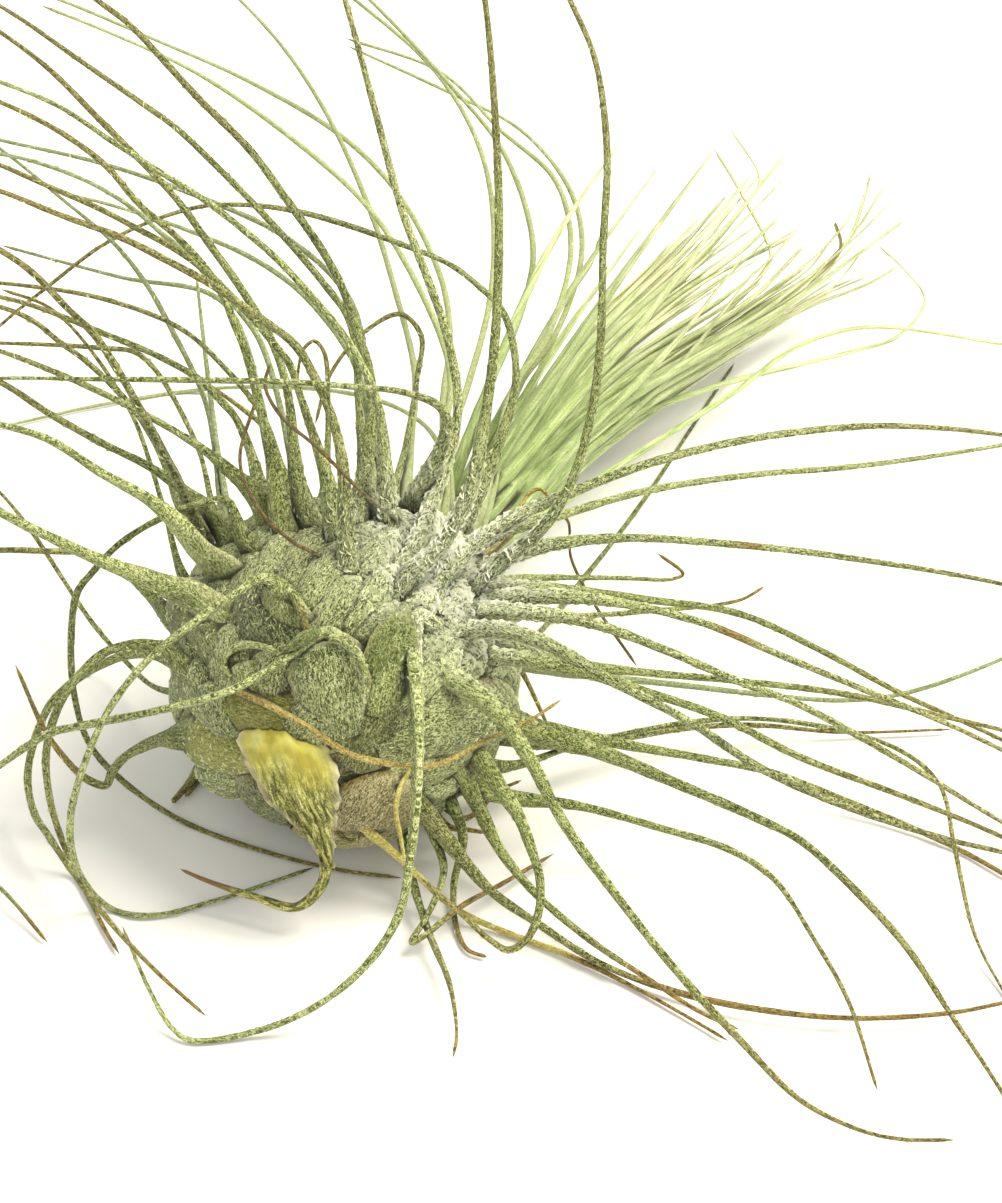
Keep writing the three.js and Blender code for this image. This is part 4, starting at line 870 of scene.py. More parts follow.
def painted_crease_shade(tree, colour):
    """The colour, with painted shade in the creases between the leaves."""
    crease = add_node(tree, "Attribute", attribute_name="crease")
    deep = add_node(tree, "MapRange", {"Value": crease.outputs["Fac"]},
                    inputs={"From Min": CREASE_FROM, "From Max": CREASE_FULL, "To Max": CREASE_MOST})
    return add_node(tree, "Mix", {0: deep, 6: colour},
                    inputs={7: linear(CREASE_SHADE_COLOUR)}).outputs[MIXED]


def scaly_skin(name, bare, coated=COATED, frost=0.5, roughness=0.72, relief=0.6, spread=0.8,
               mark=(SCALE_LONG, SCALE_WIDE)):
    """Leaf skin: waxy green under silver scales. bare holds its shade, green and silver where the
    scales are few, and coated where they lie thick. frost is how much of the bare skin the scales
    hide, spread widens the steps of colour, for a smoother skin, and mark is the length and the
    width in mm of one mark along the leaf."""
    skin, tree, shader = new_skin(name)
    marks = add_node(tree, "Attribute", attribute_name="marks")
    split = add_node(tree, "SeparateColor", {"Color": marks})
    lie = add_node(tree, "Attribute", attribute_name="lie")
    place = add_node(tree, "TexCoord").outputs["Object"]
    # The coordinates along the leaf are in metres, so a scale is a count of patterns to the metre.
    fit = add_node(tree, "Mapping", {"Vector": lie.outputs["Vector"]},
                   inputs={"Scale": (1000 / mark[0], 1000 / mark[1], 1000 / SCALE_LONG)})
    scales = add_node(tree, "TexNoise", {"Vector": fit},
                      inputs={"Scale": 1.0, "Detail": 2.0, "Roughness": 0.6, "Distortion": 1.2})
    felt = add_node(tree, "TexNoise", {"Vector": place},
                    inputs={"Scale": 1000 / FELT, "Detail": 2.0, "Roughness": 0.62, "Distortion": 1.8})
    blotch = add_node(tree, "TexNoise", {"Vector": place},
                      inputs={"Scale": 1000 / BLOTCH, "Detail": 2.0, "Roughness": 0.5})
    both = add_node(tree, "Math", {0: scales, 1: felt}, operation="ADD")
    drift = add_node(tree, "Math", {0: blotch}, operation="MULTIPLY_ADD",
                     inputs={1: BLOTCHY, 2: -BLOTCHY / 2})
    coat = add_node(tree, "Math", {0: both, 1: drift}, operation="ADD")
    half = add_node(tree, "Math", {0: coat}, operation="MULTIPLY", inputs={1: 0.5})
    # A noise of this kind stays near a half, so the steps of colour stand close round it.
    thin_steps = (-0.055, -0.012, 0.03 - 0.03 * frost, 0.095 - 0.05 * frost)
    thin = add_node(tree, "ValToRGB", {"Fac": half},
                    stops=zip((0.5 + spread * step for step in thin_steps), (*bare[:2], *bare[1:])))
    thick = add_node(tree, "ValToRGB", {"Fac": half},
                     stops=zip((0.5 + spread * step for step in (-0.045, -0.005, 0.04)), coated))
    mixed = add_node(tree, "Mix", {0: marks.outputs["Alpha"], 6: thin, 7: thick})
    tint = add_node(tree, "MapRange", {"Value": split.outputs["Blue"]},
                    inputs={"To Min": LEAF_TINTS[0], "To Max": LEAF_TINTS[1]})
    varied = add_node(tree, "HueSaturation", {"Color": mixed, "Value": tint})
    rim = add_node(tree, "Math", {0: split.outputs["Green"]}, operation="MULTIPLY",
                   inputs={1: EDGE_SHOWS})
    edged = add_node(tree, "Mix", {0: rim, 6: varied}, inputs={7: linear(EDGE_COLOUR)})
    # Dried skin starts ragged: the felt pattern makes it come sooner here and later there.
    ragged = add_node(tree, "Math", {0: split, 1: felt, 2: split}, operation="MULTIPLY_ADD",
                      use_clamp=True)
    dried = add_node(tree, "ValToRGB", {"Fac": scales}, stops=DRIED)
    browned = add_node(tree, "Mix", {0: ragged, 6: edged, 7: dried})
    raised = add_node(tree, "Bump", {"Height": both},
                      inputs={"Strength": relief, "Distance": SCALE_HIGH})
    tree.links.new(painted_crease_shade(tree, browned), shader.inputs["Base Color"])
    tree.links.new(raised.outputs[0], shader.inputs["Normal"])
    for socket, value in (("Roughness", roughness), ("IOR", 1.42), ("Specular IOR Level", 0.3),
                          ("Sheen Weight", 0.15), ("Sheen Roughness", 0.6)):
        shader.inputs[socket].default_value = value
    return skin


print("a silver scale:", SCALE_LONG, "by", SCALE_WIDE, "mm")

# %% [markdown]
# The old sheath low in front has torn open and turned yellow. Its upper part is bare and satin;
# further down, olive streaks follow the veins under what is left of the scales. Paint alone would
# not do: the satin and the streaks have to change place softly, so both run along the leaf.

# %% Satin skin of the torn sheath
VEIN_LONG, VEIN_WIDE, VEIN_HIGH = 1.1, 0.3, 0.25  # mm
CLOUD = 2.4  # mm: pale and deep patches of the satin
SATIN_RUN = (0.0062, 0.0098)  # m from the root: where the bare satin gives way to streaks
SATIN_RAGGED = 0.007  # m: how far that place wanders
TORN_EDGE, TORN_BROWN = "#DFD7B4", "#7C5E30"  # its papery edge, and where it has died


def torn_skin():
    """Bare satin skin near the root, streaked with olive further on."""
    skin, tree, shader = new_skin("yellowed_sheath_satin")
    lie = add_node(tree, "Attribute", attribute_name="lie").outputs["Vector"]
    marks = add_node(tree, "Attribute", attribute_name="marks")
    split = add_node(tree, "SeparateColor", {"Color": marks})
    place = add_node(tree, "TexCoord").outputs["Object"]
    fit = add_node(tree, "Mapping", {"Vector": lie},
                   inputs={"Scale": (1000 / VEIN_LONG, 1000 / VEIN_WIDE, 1.0)})
    veins = add_node(tree, "TexNoise", {"Vector": fit},
                     inputs={"Scale": 1.0, "Detail": 3.0, "Roughness": 0.6, "Distortion": 0.6})
    felt = add_node(tree, "TexNoise", {"Vector": place},
                    inputs={"Scale": 1000 / FELT, "Detail": 2.0, "Roughness": 0.6, "Distortion": 1.6})
    cloud = add_node(tree, "TexNoise", {"Vector": place},
                     inputs={"Scale": 1000 / CLOUD, "Detail": 2.0})
    satin = add_node(tree, "ValToRGB", {"Fac": cloud},
                     stops=((0.36, "#A89C36"), (0.5, "#CAC254"), (0.64, "#DEDA80")))
    both = add_node(tree, "Math", {0: veins, 1: felt}, operation="ADD")
    half = add_node(tree, "Math", {0: both}, operation="MULTIPLY", inputs={1: 0.5})
    streaks = add_node(tree, "ValToRGB", {"Fac": half}, stops=(
        (0.45, "#363A0C"), (0.49, "#72742A"), (0.54, "#A6A648"), (0.6, "#E0DC98")))
    run = add_node(tree, "SeparateXYZ", {"Vector": lie})
    down = add_node(tree, "Math", {0: cloud, 2: run}, operation="MULTIPLY_ADD",
                    inputs={1: SATIN_RAGGED})
    streaky = add_node(tree, "MapRange", {"Value": down},
                       inputs={"From Min": SATIN_RUN[0], "From Max": SATIN_RUN[1]})
    coloured = add_node(tree, "Mix", {0: streaky, 6: satin, 7: streaks})
    edged = add_node(tree, "Mix", {0: split.outputs["Green"], 6: coloured},
                     inputs={7: linear(TORN_EDGE)})
    browned = add_node(tree, "Mix", {0: split, 6: edged}, inputs={7: linear(TORN_BROWN)})
    raised = add_node(tree, "Bump", {"Height": both},
                      inputs={"Strength": 0.5, "Distance": VEIN_HIGH * MM})
    tree.links.new(painted_crease_shade(tree, browned), shader.inputs["Base Color"])
    tree.links.new(raised.outputs[0], shader.inputs["Normal"])
    shader.inputs["Roughness"].default_value = 0.42
    shader.inputs["IOR"].default_value = 1.45
    return skin


print("veins of the torn sheath:", VEIN_LONG, "by", VEIN_WIDE, "mm")

# %% [markdown]
# The largest scales stand clear of the leaf, each a pale dry shield that shines where it tilts to
# the light. They are whitest round the crown.

# %% Skin of a single scale
def flake_skin():
    """A dry, pale shield, greener far from the crown."""
    skin, tree, shader = new_skin("silver_scale")
    marks = add_node(tree, "Attribute", attribute_name="marks")
    pale = add_node(tree, "Mix", {0: marks.outputs["Alpha"]},
                    inputs={6: linear("#E6ECB4"), 7: linear("#FFFFF0")})
    tree.links.new(painted_crease_shade(tree, pale), shader.inputs["Base Color"])
    shader.inputs["Roughness"].default_value = 0.5
    return skin


scale_skin = flake_skin()
print("skin of a single scale:", scale_skin.name)

# %% [markdown]
# One skin for each tone of the plant. Old leaves are olive, young ones yellow-green, and the heart
# is the palest and smoothest: its scales lie flat and shut. It grows paler still to its tips. The
# dead parts have no green left. Each comment says what the skin gives the eye.

# %% The skins of this plant, by tone
PALE_TIPS = ("#98A06A", "#B6BC88", "#D0D2AA")
HUSK_COAT = ("#4C4020", "#9A8E58", "#E0DAB4")
PAINTED_HOLLOW_SHADE = ("#1A1E06", "#444C1A", "#B4BA84")
skins = {
    # Grey-green felt with light specks: most of the leaves.
    "silver": scaly_skin("silver_scaled_leaf", ("#2A3408", "#747E30", "#D4DA9E"), frost=0.6),
    # Fresh green where the scales are few.
    "green": scaly_skin("green_leaf_thinly_scaled", ("#2E3808", "#727E2C", "#C4CA86")),
    # Older leaves, a little brown in the green.
    "olive": scaly_skin("olive_leaf_thinly_scaled", ("#2E3208", "#6C722A", "#BABC7C"), frost=0.45),
    # Dark green: the own colour of one far leaf, and painted shade on the dark faces of the folds in
    # front.
    "deep": scaly_skin("deep_green_leaf", ("#343E12", "#626E2C", "#A2AA68"),
                       ("#2C3610", "#566228", "#9AA268"), frost=0.3),
    "pale": scaly_skin("pale_leaf_scaled", ("#3E4A10", "#858E3E", "#D2D89C")),
    "bluish": scaly_skin("bluish_inner_leaf", ("#6E7C44", "#98A468", "#CCD2AC"), spread=1.3),
    # Far leaves look paler and smoother.
    "far": scaly_skin("far_leaf_pale", ("#7C8848", "#A2AC70", "#CACFA8"), frost=0.4, relief=0.3,
                      spread=1.6),
    "yellow": scaly_skin("yellowing_leaf", ("#9C8A34", "#C8BC58", "#E6DC94"), frost=0.3),
    # Straw and dark brown: dead skin, dull and dry.
    "dry": scaly_skin("dried_straw_leaf", ("#6A5A20", "#A08C3C", "#CDBB70"), frost=0.3),
    "brown": scaly_skin("dried_brown_thread", ("#3C300F", "#625220", "#8C7C40"), frost=0.2),
    "heart": scaly_skin("young_heart_leaf", ("#6A8040", "#9AAC68", "#CBD69E"), PALE_TIPS, 0.4,
                        relief=0.25, spread=1.7, roughness=0.6, mark=(6.0, 0.3)),
    # Papery husks at the foot of the bulb, with a flush of brown.
    "husk": scaly_skin("papery_old_husk", ("#3E3412", "#887C3C", "#D4CC9A"), HUSK_COAT),
    # Painted shade: dark, with single bright scales, down in the round cup and in the gap beside the
    # torn sheath.
    "hollow": scaly_skin("cup_in_shade", PAINTED_HOLLOW_SHADE, PAINTED_HOLLOW_SHADE, frost=0.3),
    # The yellow of a dying base through the scales.
    "golden": scaly_skin("yellowing_base", ("#44480E", "#7E8028", "#BCBA62"), frost=0.4, spread=1.3),
    # Painted shade: the bulb's body shows only in the gaps between the sheaths, so its skin is dark.
    "shade": scaly_skin("inner_bases_in_painted_shade", ("#3C4018", "#5C6030", "#8A8E5C"), frost=0.3),
    "torn": torn_skin(),
    "flake": scale_skin,
}
print("skins:", ", ".join(skins))

# %% [markdown]
# Parts become pieces. Each piece is one closed mesh object that rides on the plant's only body
# and stands for its plain solid.

# %% From parts to pieces
SLOTS = {tone: tone + "_leaf" for tone in skins if tone != "flake"}
SLOTS.update({"dry": "straw_leaf", "bluish": "pale_leaf", "far": "pale_leaf", "deep": "olive_leaf",
              "hollow": "olive_leaf", "golden": "yellow_leaf", "husk": "silver_leaf",
              "shade": "silver_leaf"})
outfit = []  # each piece of the plant: its name, the node it stands for, and its parts


def make_piece(name, node, parts):
    """One mesh object from parts, in metres, with a skin for each part."""
    points = np.vstack([part.points for part in parts]) * MM
    faces, skin_of, start = [], [], 0
    used = list(dict.fromkeys(part.skin for part in parts))
    for part in parts:
        faces += [tuple(start + k for k in face) for face in part.faces]
        skin_of += [used.index(part.skin)] * len(part.faces)
        start += len(part.points)
    mesh = bpy.data.meshes.new(name)
    mesh.from_pydata(points.tolist(), [], faces)
    marks = mesh.color_attributes.new("marks", "FLOAT_COLOR", "POINT")
    marks.data.foreach_set("color", np.vstack([part.marks for part in parts]).ravel())
    lie = mesh.attributes.new("lie", "FLOAT_VECTOR", "POINT")
    lie.data.foreach_set("vector", (np.vstack([part.lie for part in parts]) * MM).ravel())
    crease = mesh.attributes.new("crease", "FLOAT", "POINT")
    crease.data.foreach_set("value", np.concatenate([part.crease for part in parts]))
    for tone in used:
        mesh.materials.append(skins[tone])
    mesh.polygons.foreach_set("material_index", skin_of)
    # A curved leaf shades smoothly, but each face of a scale catches the light by itself.
    mesh.polygons.foreach_set("use_smooth", [used[k] != "flake" for k in skin_of])
    mesh.update()
    piece = bpy.data.objects.new(name, mesh)
    bpy.context.scene.collection.objects.link(piece)
    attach(piece, "root")
    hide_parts(node)


print("finishes in the record:", len(set(SLOTS.values())))

# %% [markdown]
# The root of every leaf flares into its sheath. The sheath runs from the leaf's root back towards
# the root end of the bulb, on the bulb's surface, and widens on the way as the real ones do.

# %% The sheath under a leaf
SHEATH_REACH = 46  # degrees of ring from a leaf's root back to the foot of its sheath
OLD_LIFT, YOUNG_RING = 1.3, 130  # mm that the oldest stands off, and the ring where none does
BROWN_EDGE, WITHOUT = 0.3, 0.6  # how brown some edges are, and the share of sheaths with none


def own_sheath(line, base_width, skin, hue):
    """The sheath of a leaf. An older one sits lower on the bulb and lies over the younger ones."""
    clock, ring = bulb_place(line[0])
    low = max(ring - SHEATH_REACH, 8)
    wide = base_width * 1.15 + 0.7
    widths = [wide * 0.7, wide * 1.05, wide, base_width * 1.15, base_width * 0.8]
    age = OLD_LIFT * max(0, 1 - ring / YOUNG_RING)
    lifts = [-0.5, -0.2, age * 0.6, age, age + 0.1]
    return sheath(meridian(clock, low, ring + 5), widths, lifts, skin, crown=1.6, ripple=0.05,
                  edge_brown=BROWN_EDGE * (leaf_draws.random() > WITHOUT), hue=hue)


# From which share of its length a leaf has dried, and how much.
BROWN_ENDS = {
    "left_loop_1": (0.86, 1), "left_loop_2": (0.88, 1), "torn_sheath": (0.86, 1),
    "under_right_1": (0.84, 1), "under_right_2": (0.6, 1), "yellow_low_leaf": (0.62, 0.9),
    "right_low_5": (0.4, 0.75), "right_low_2": (0.9, 0.4), "front_loop_2": (0.93, 1),
    "far_low_4": (0.86, 1), "heart_9": (0.9, 0.5), "torn_left_leaf": (0.62, 0.5),
    "right_low_4": (0.93, 1), "under_right_3": (0.9, 1), "right_low_3": (0.72, 0.7),
    "front_drop": (0.97, 1), "right_low_1": (0.97, 0.9), "under_right_4": (0.5, 1),
    "under_right_5": (0.5, 0.9), "right_low_6": (0.7, 0.8), "far_low_8": (0.72, 0.9),
    "far_low_2": (0.97, 1)}
# Short dried places on the way, by picture place.
BROWN_SPOTS = {"right_arch_3": [(748, 545)], "right_arch_6": [(728, 630), (741, 637)]}
# The feet of these leaves are stouter in the solids than on the plant.
SLENDER_FAMILIES = ("right", "low", "under", "upper", "upright")
STOUT, SLENDER = 1.8, 0.6  # mm, and the share of what is wider that stays


def near_sight(line, x, y):
    """The point of a line that is seen nearest to a picture place."""
    sight = unit(sight_line(x, y))
    rel = line - EYE
    aside = np.linalg.norm(rel - (rel @ sight)[:, None] * sight, axis=1)
    return line[np.argmin(aside)]


def leaf_parts(one, with_sheath=True):
    """The blade of a leaf and, where it has one, its sheath."""
    line = traced_line(one)
    brown_from, brown_most = BROWN_ENDS.get(one["name"], (0.985, 0.8))
    spots = [near_sight(line, x, y) for x, y in BROWN_SPOTS.get(one["name"], [])]
    hue = leaf_draws.random()
    widths = one["widths"]
    if one["name"].startswith(SLENDER_FAMILIES):
        widths = [value if i % 2 == 0 else min(value, STOUT + SLENDER * (value - STOUT))
                  for i, value in enumerate(widths)]
    parts = [blade(line, widths, one["tone"], brown_from, brown_most, hue=hue, spots=spots)]
    if with_sheath:
        skin = "husk" if one["tone"] == "yellow" else "silver"
        parts.append(own_sheath(line, one["widths"][1], skin, hue))
    return parts


print("leaves with dried ends:", len(BROWN_ENDS), "with dried spots:", len(BROWN_SPOTS))

# %% [markdown]
# The sheaths that face us were followed on the picture one by one, because they are what the eye
# meets first: two round cups under the front loops, the broad one of the long leaf to the right,
# the curled one with a brown rim, and the papery husks low down.

# %% The sheaths in front
# The node, the skin, the picture places from foot to rim, and along them the widths and how far the
# sheath stands off the bulb; then the swell of its middle, and how brown its edge is.
front_sheaths = [
    # Painted shade: the round cup under the first front loop lies in the shadow of its blade.
    ("front_loop_1", "hollow", [294, 688, 284, 652, 273, 622, 264, 594], [5.0, 6.4, 6.6, 4.8],
     [0.2, 0.6, 1.1, 1.3], 1.7, 0.2),
    ("front_loop_2", "silver", [337, 730, 335, 706, 331, 676, 326, 645], [5.0, 6.6, 6.8, 5.2],
     [0.6, 1.2, 1.9, 2.0], 1.6, 0.3),
    ("front_drop", "green", [376, 712, 381, 690, 389, 660, 401, 628], [5.0, 5.8, 5.2, 3.2],
     [0.1, 0.4, 0.8, 1.0], 2.0, 0.3),
    # Painted shade: the dark left face of the hood, turned away from the light.
    ("front_drop", "deep", [368, 700, 376, 676, 384, 650, 393, 624], [3.0, 3.8, 3.6, 2.0],
     [0.6, 2.0, 3.0, 3.8], 0.2, 0.2),
    ("right_low_1", "silver", [374, 742, 412, 730, 450, 718, 486, 711, 506, 720],
     [5.0, 6.8, 7.2, 5.4, 3.2], [0.3, 0.9, 1.3, 1.2, 0.8], 1.6, 0.4),
    ("left_broad_leaf", "olive", [256, 694, 240, 664, 217, 631, 193, 601], [5.0, 6.2, 6.0, 4.8],
     [0.2, 0.8, 1.3, 1.3], 1.7, 0.2),
    ("left_loop_2", "olive", [226, 718, 200, 694, 176, 668, 158, 646], [6.0, 7.4, 6.8, 4.6],
     [-0.3, -0.1, 0.0, 0.1], 1.2, 0.3),
    ("left_loop_1", "pale", [272, 716, 264, 698, 257, 682, 252, 664], [4.0, 4.8, 5.2, 4.8],
     [0.7, 1.2, 1.7, 1.9], 0.6, 1.0),
    ("torn_left_leaf", "golden", [275, 752, 240, 744, 205, 740, 172, 744], [4.5, 6.4, 6.2, 4.4],
     [0.1, 0.4, 0.5, 0.3], 1.5, 0.5),
    ("torn_left_leaf", "golden", [206, 700, 240, 700, 276, 706, 314, 724], [3.2, 4.2, 4.4, 3.0],
     [0.9, 1.4, 1.6, 0.9], 0.7, 0.9),
    ("bulb", "olive", [356, 764, 370, 740, 383, 716, 391, 697], [6, 7, 6, 3.6],
     [0.2, 0.5, 0.8, 0.9], 1.2, 0.8),
    ("bulb", "husk", [330, 852, 350, 822, 376, 792, 402, 762], [8, 10.5, 10, 6],
     [0.7, 1.4, 1.6, 1.4], 0.9, 0.8),
    ("bulb", "husk", [300, 776, 330, 758, 366, 746, 396, 742], [6, 7, 6, 4.4], [0.0, 0.1, 0.2, 0.3],
     0.9, 0.8),
    # Painted shade: a dark skin in the gap beside the torn sheath.
    ("bulb", "hollow", [316, 842, 282, 816, 258, 792, 240, 766], [6, 7, 6, 4], [0.0, 0.1, 0.2, 0.2],
     0.9, 0.8),
]
# Free rims and folds at the cups: the node, the skin, how far it stands off the bulb, the widths,
# and the picture places. They are the curled rim to the left, the rims of the two round cups, and
# the inner face of a fold, whose dark skin is painted shade.
rims = [
    ("left_loop_1", "pale", 3.4, [0, 0.7, 3, 1.1, END, 0.7],
     [230, 676, 224, 664, 229, 652, 243, 645, 260, 646, 276, 652, 288, 662]),
    ("front_loop_1", "green", 3.7, [0, 1.4, 3, 1.5, END, 0.9],
     [262, 577, 274, 580, 287, 589, 298, 603, 305, 622, 308, 642]),
    ("front_loop_2", "pale", 3.9, [0, 1.2, 3, 1.3, END, 0.8],
     [330, 638, 344, 642, 355, 651, 363, 666, 365, 684, 360, 700]),
    ("front_loop_2", "deep", 4.6, [0, 0.5, 2, 1.7, 3.5, 1.7, END, 1.2],
     [282, 653, 294, 645, 308, 636, 322, 630]),
]
FRONT_RIPPLE, FRONT_THICK = 0.09, 0.4  # mm
traced_sheaths = {}
for name, skin, trace, widths, lifts, crown, rim_brown in front_sheaths:
    cup = sheath(face_line(trace), widths, lifts, skin, crown, FRONT_RIPPLE, FRONT_THICK,
                 edge_brown=rim_brown)
    traced_sheaths.setdefault(name, []).append(cup)
for name, skin, clear, widths, trace in rims:
    traced_sheaths[name].append(blade(face_line(trace, clear), widths, skin))
print("sheaths in front:", len(front_sheaths), "rims:", len(rims))

# %% [markdown]
# The torn sheath hangs in front like a wrung flap. Its two edges were followed on the picture. The
# skin between them bulges towards us, its edges are crinkled, and fine wrinkles run down it.

# %% The torn sheath
TORN_EDGES = [(260, 722, 294, 719), (241, 730, 318, 733), (237, 744, 333, 750), (245, 762, 338, 772),
              (255, 782, 340, 792), (268, 804, 339, 808), (290, 822, 336, 822), (305, 836, 334, 838),
              (315, 850, 334, 852), (321, 866, 334, 868)]
TORN_DEPTHS = [-13.2, -14.2, -14.9, -15.1, -15.0, -14.8, -14.2, -13.5, -12.8, -12.0]
TORN_ROWS, TORN_COLUMNS = 46, 25
FLAP_LONG = 12.8  # mm
FLAP_THICK, FLAP_THIN = 0.34, 0.2  # mm: in its middle, and what is gone at its edges
BULGE = 0.24  # of its width
CRINKLES, FOLDS = (0.4, 0.3), (0.24, 0.14)  # mm: coarse and fine, at its edges and all over it
FRAYS = (1.5, 0.9)  # picture places: coarse and fine tears of its edges
THREAD_FROM, THREAD_LIE = 13.2, 14  # mm from the root: where its thread and its pattern start


def torn_flap():
    """The wrung skin, row by row between its two edges. c runs across it from -1 to 1."""
    share = np.linspace(0, 1, len(TORN_EDGES))
    rows = np.linspace(0, 1, TORN_ROWS) ** 0.8
    edges = np.array(TORN_EDGES, float)
    picked = np.stack([np.interp(rows, share, edges[:, k]) for k in range(4)], axis=1)
    depths = np.interp(rows, share, TORN_DEPTHS)
    tops, unders, edge, brown, lie = [], [], [], [], []
    for row, (lx, ly, rx, ry), depth in zip(rows, picked, depths):
        width = math.hypot(rx - lx, ry - ly) / PLACES_PER_MM
        for c in np.linspace(-1, 1, TORN_COLUMNS):
            side = (c + 1) / 2
            crinkle = abs(c) ** 5 * (CRINKLES[0] * math.sin(row * 31 + c * 3)
                                     + CRINKLES[1] * math.sin(row * 57 + 2))
            fold = (FOLDS[0] * math.sin(c * 9 + row * 4) * (0.2 + row)
                    + FOLDS[1] * math.sin(c * 17 - row * 7))
            bulge = (1 - c * c) * BULGE * width
            near = depth + 0.12 * width - bulge - crinkle - fold * min(1, width / 4)
            shift = abs(c) ** 9 * (FRAYS[0] * math.sin(row * 37 + c * 2)
                                   + FRAYS[1] * math.sin(row * 91 + c))
            place = (lx + (rx - lx) * side + shift, ly + (ry - ly) * side + 0.5 * shift)
            tops.append(seen_point(*place, near))
            unders.append(seen_point(*place, near + FLAP_THICK - FLAP_THIN * abs(c) ** 3))
            edge.append(0.95 * abs(c) ** (10 if c > 0 else 16))
            torn_line = max(0, 1 - row * 13) + 0.5 * max(0, -c) ** 24 * (row > 0.3)
            brown.append(0.9 * torn_line * (0.6 + 0.4 * math.sin(c * 23)))
            lie.append((row * FLAP_LONG, c * width / 2, 0.0))
    faces = cup_faces(TORN_ROWS, TORN_COLUMNS, flip=True)
    points = np.array(tops + unders)
    looks = np.tile(unit(EYE - BULB_CENTRE), (len(points), 1))
    return Part(points, faces, np.array(brown * 2), np.array(edge * 2), 0.5, np.zeros(len(points)),
                np.array(lie * 2), looks, "torn")


print("torn sheath:", TORN_ROWS, "rows")

# %% Large leaves
for one in large_leaves:
    if one["name"] == "torn_sheath":
        line = traced_line(one)
        thread = line[along_curve(line) > THREAD_FROM]
        parts = [torn_flap(), blade(thread, [0, 1.5, 4, 1.45, END, 0.6], "torn", 0.72, 1, hue=0.5)]
        parts[1].lie[:, 0] += THREAD_LIE
    else:
        parts = leaf_parts(one, with_sheath=one["name"] != "torn_left_leaf")
    parts += traced_sheaths.get(one["name"], [])
    outfit.append(("leaf_" + one["name"], one["name"], parts))
print("large leaves dressed:", len(outfit))

# %% Leaves of the bulb's own piece, in groups that grow together
groups = {}
for one in bulb_leaves:
    groups.setdefault(one["name"].rsplit("_", 1)[0], []).append(one)
for group, members in groups.items():
    parts = []
    for one in members:
        parts += leaf_parts(one)
    outfit.append(("leaves_" + group, "bulb", parts))
print("groups on the bulb:", ", ".join(groups))

# %% [markdown]
# Under the sheaths is the body of the bulb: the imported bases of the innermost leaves. It is an egg
# that no gap shows through. Over it lie the old bases that have lost their threads, each a golden
# angle on from the last, because that is how this plant sets its leaves.

# %% The bulb's body and its old bases
GOLDEN_ANGLE = 137.508
OLD_BASES, BACK_BASES = 30, 34
OLD_RINGS, BACK_RINGS = (28, 70), (100, 46)  # degrees: where they start, and how far they go on
BASE_RIPPLE = 0.06  # mm
BODY_LIFT = -0.7  # mm
BODY_ROWS, BODY_COLUMNS = 28, 44


def bulb_body():
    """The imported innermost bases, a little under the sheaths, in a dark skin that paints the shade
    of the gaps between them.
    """
    points = [bulb_point(clock, ring, BODY_LIFT) for ring in np.linspace(3, 177, BODY_ROWS)
              for clock in np.linspace(0, 360, BODY_COLUMNS, endpoint=False)]
    points += [bulb_point(0, 0, BODY_LIFT), bulb_point(0, 180, BODY_LIFT)]
    faces = tube_faces(BODY_ROWS, BODY_COLUMNS)
    points = np.array(points)
    points[:, 2] = np.maximum(points[:, 2], 0)
    lie = np.stack([points[:, 2], points[:, 0] * 0.5, points[:, 1]], axis=1)
    none = np.zeros(len(points))
    looks = (points - BULB_CENTRE) / np.linalg.norm(points - BULB_CENTRE, axis=1)[:, None]
    return Part(points, faces, none, none, 0.4, crown_coat(points), lie, looks, "shade")


old_parts = [bulb_body()]
for i in range(OLD_BASES):
    clock, ring = i * GOLDEN_ANGLE, OLD_RINGS[0] + OLD_RINGS[1] * (i / OLD_BASES) ** 0.8
    line = meridian(clock, max(ring - 30, 5), ring + 22)
    aged = 0.6 * (1 - i / OLD_BASES)
    old_parts.append(sheath(line, [5.6, 7.8, 7.8, 5.8, 2.2], [-1.2, -1.0, -0.8, -0.6, -0.4], "olive",
                            crown=1.0, ripple=BASE_RIPPLE, brown=(aged, aged * 0.6, 0.1),
                            edge_brown=0.5))
# Round the back, where no traced sheath covers the bulb, the bases go on up to the crown.
for i in range(OLD_BASES, OLD_BASES + BACK_BASES):
    clock, ring = i * GOLDEN_ANGLE, BACK_RINGS[0] + BACK_RINGS[1] * (i - OLD_BASES) / BACK_BASES
    foot, normal = on_bulb(bulb_point(clock, ring))
    if normal @ (EYE - foot) < 0:
        line = meridian(clock, ring - 34, ring + 20)
        old_parts.append(sheath(line, [6.0, 7.4, 7.0, 5.2, 2.0], [-0.7, -0.5, -0.3, -0.1, 0.0],
                                "silver", crown=1.1, ripple=BASE_RIPPLE))
# A dead sliver and a dried scar lie near the crown.
SLIVER_CLEAR = 1.6  # mm off the bulb
for trace in ((349, 571, 362, 576, 376, 584), (481, 571, 488, 567, 495, 563)):
    old_parts.append(blade(face_line(trace, SLIVER_CLEAR), [0, 0.5, 1, 0.7, END, 0.4], "brown"))
outfit.append(("bulb_old_bases", "bulb", old_parts + traced_sheaths["bulb"]))
print("old bases:", OLD_BASES, "and up to", BACK_BASES, "more at the back")

# %% [markdown]
# The heart is the youngest growth: a sheaf of pale strands that has not opened. The traced strands
# and nine young threads are in the solids. Many finer ones lie between them, each a blend of two
# traced neighbours, so that all of them stay inside the sheaf and nearly side by side.

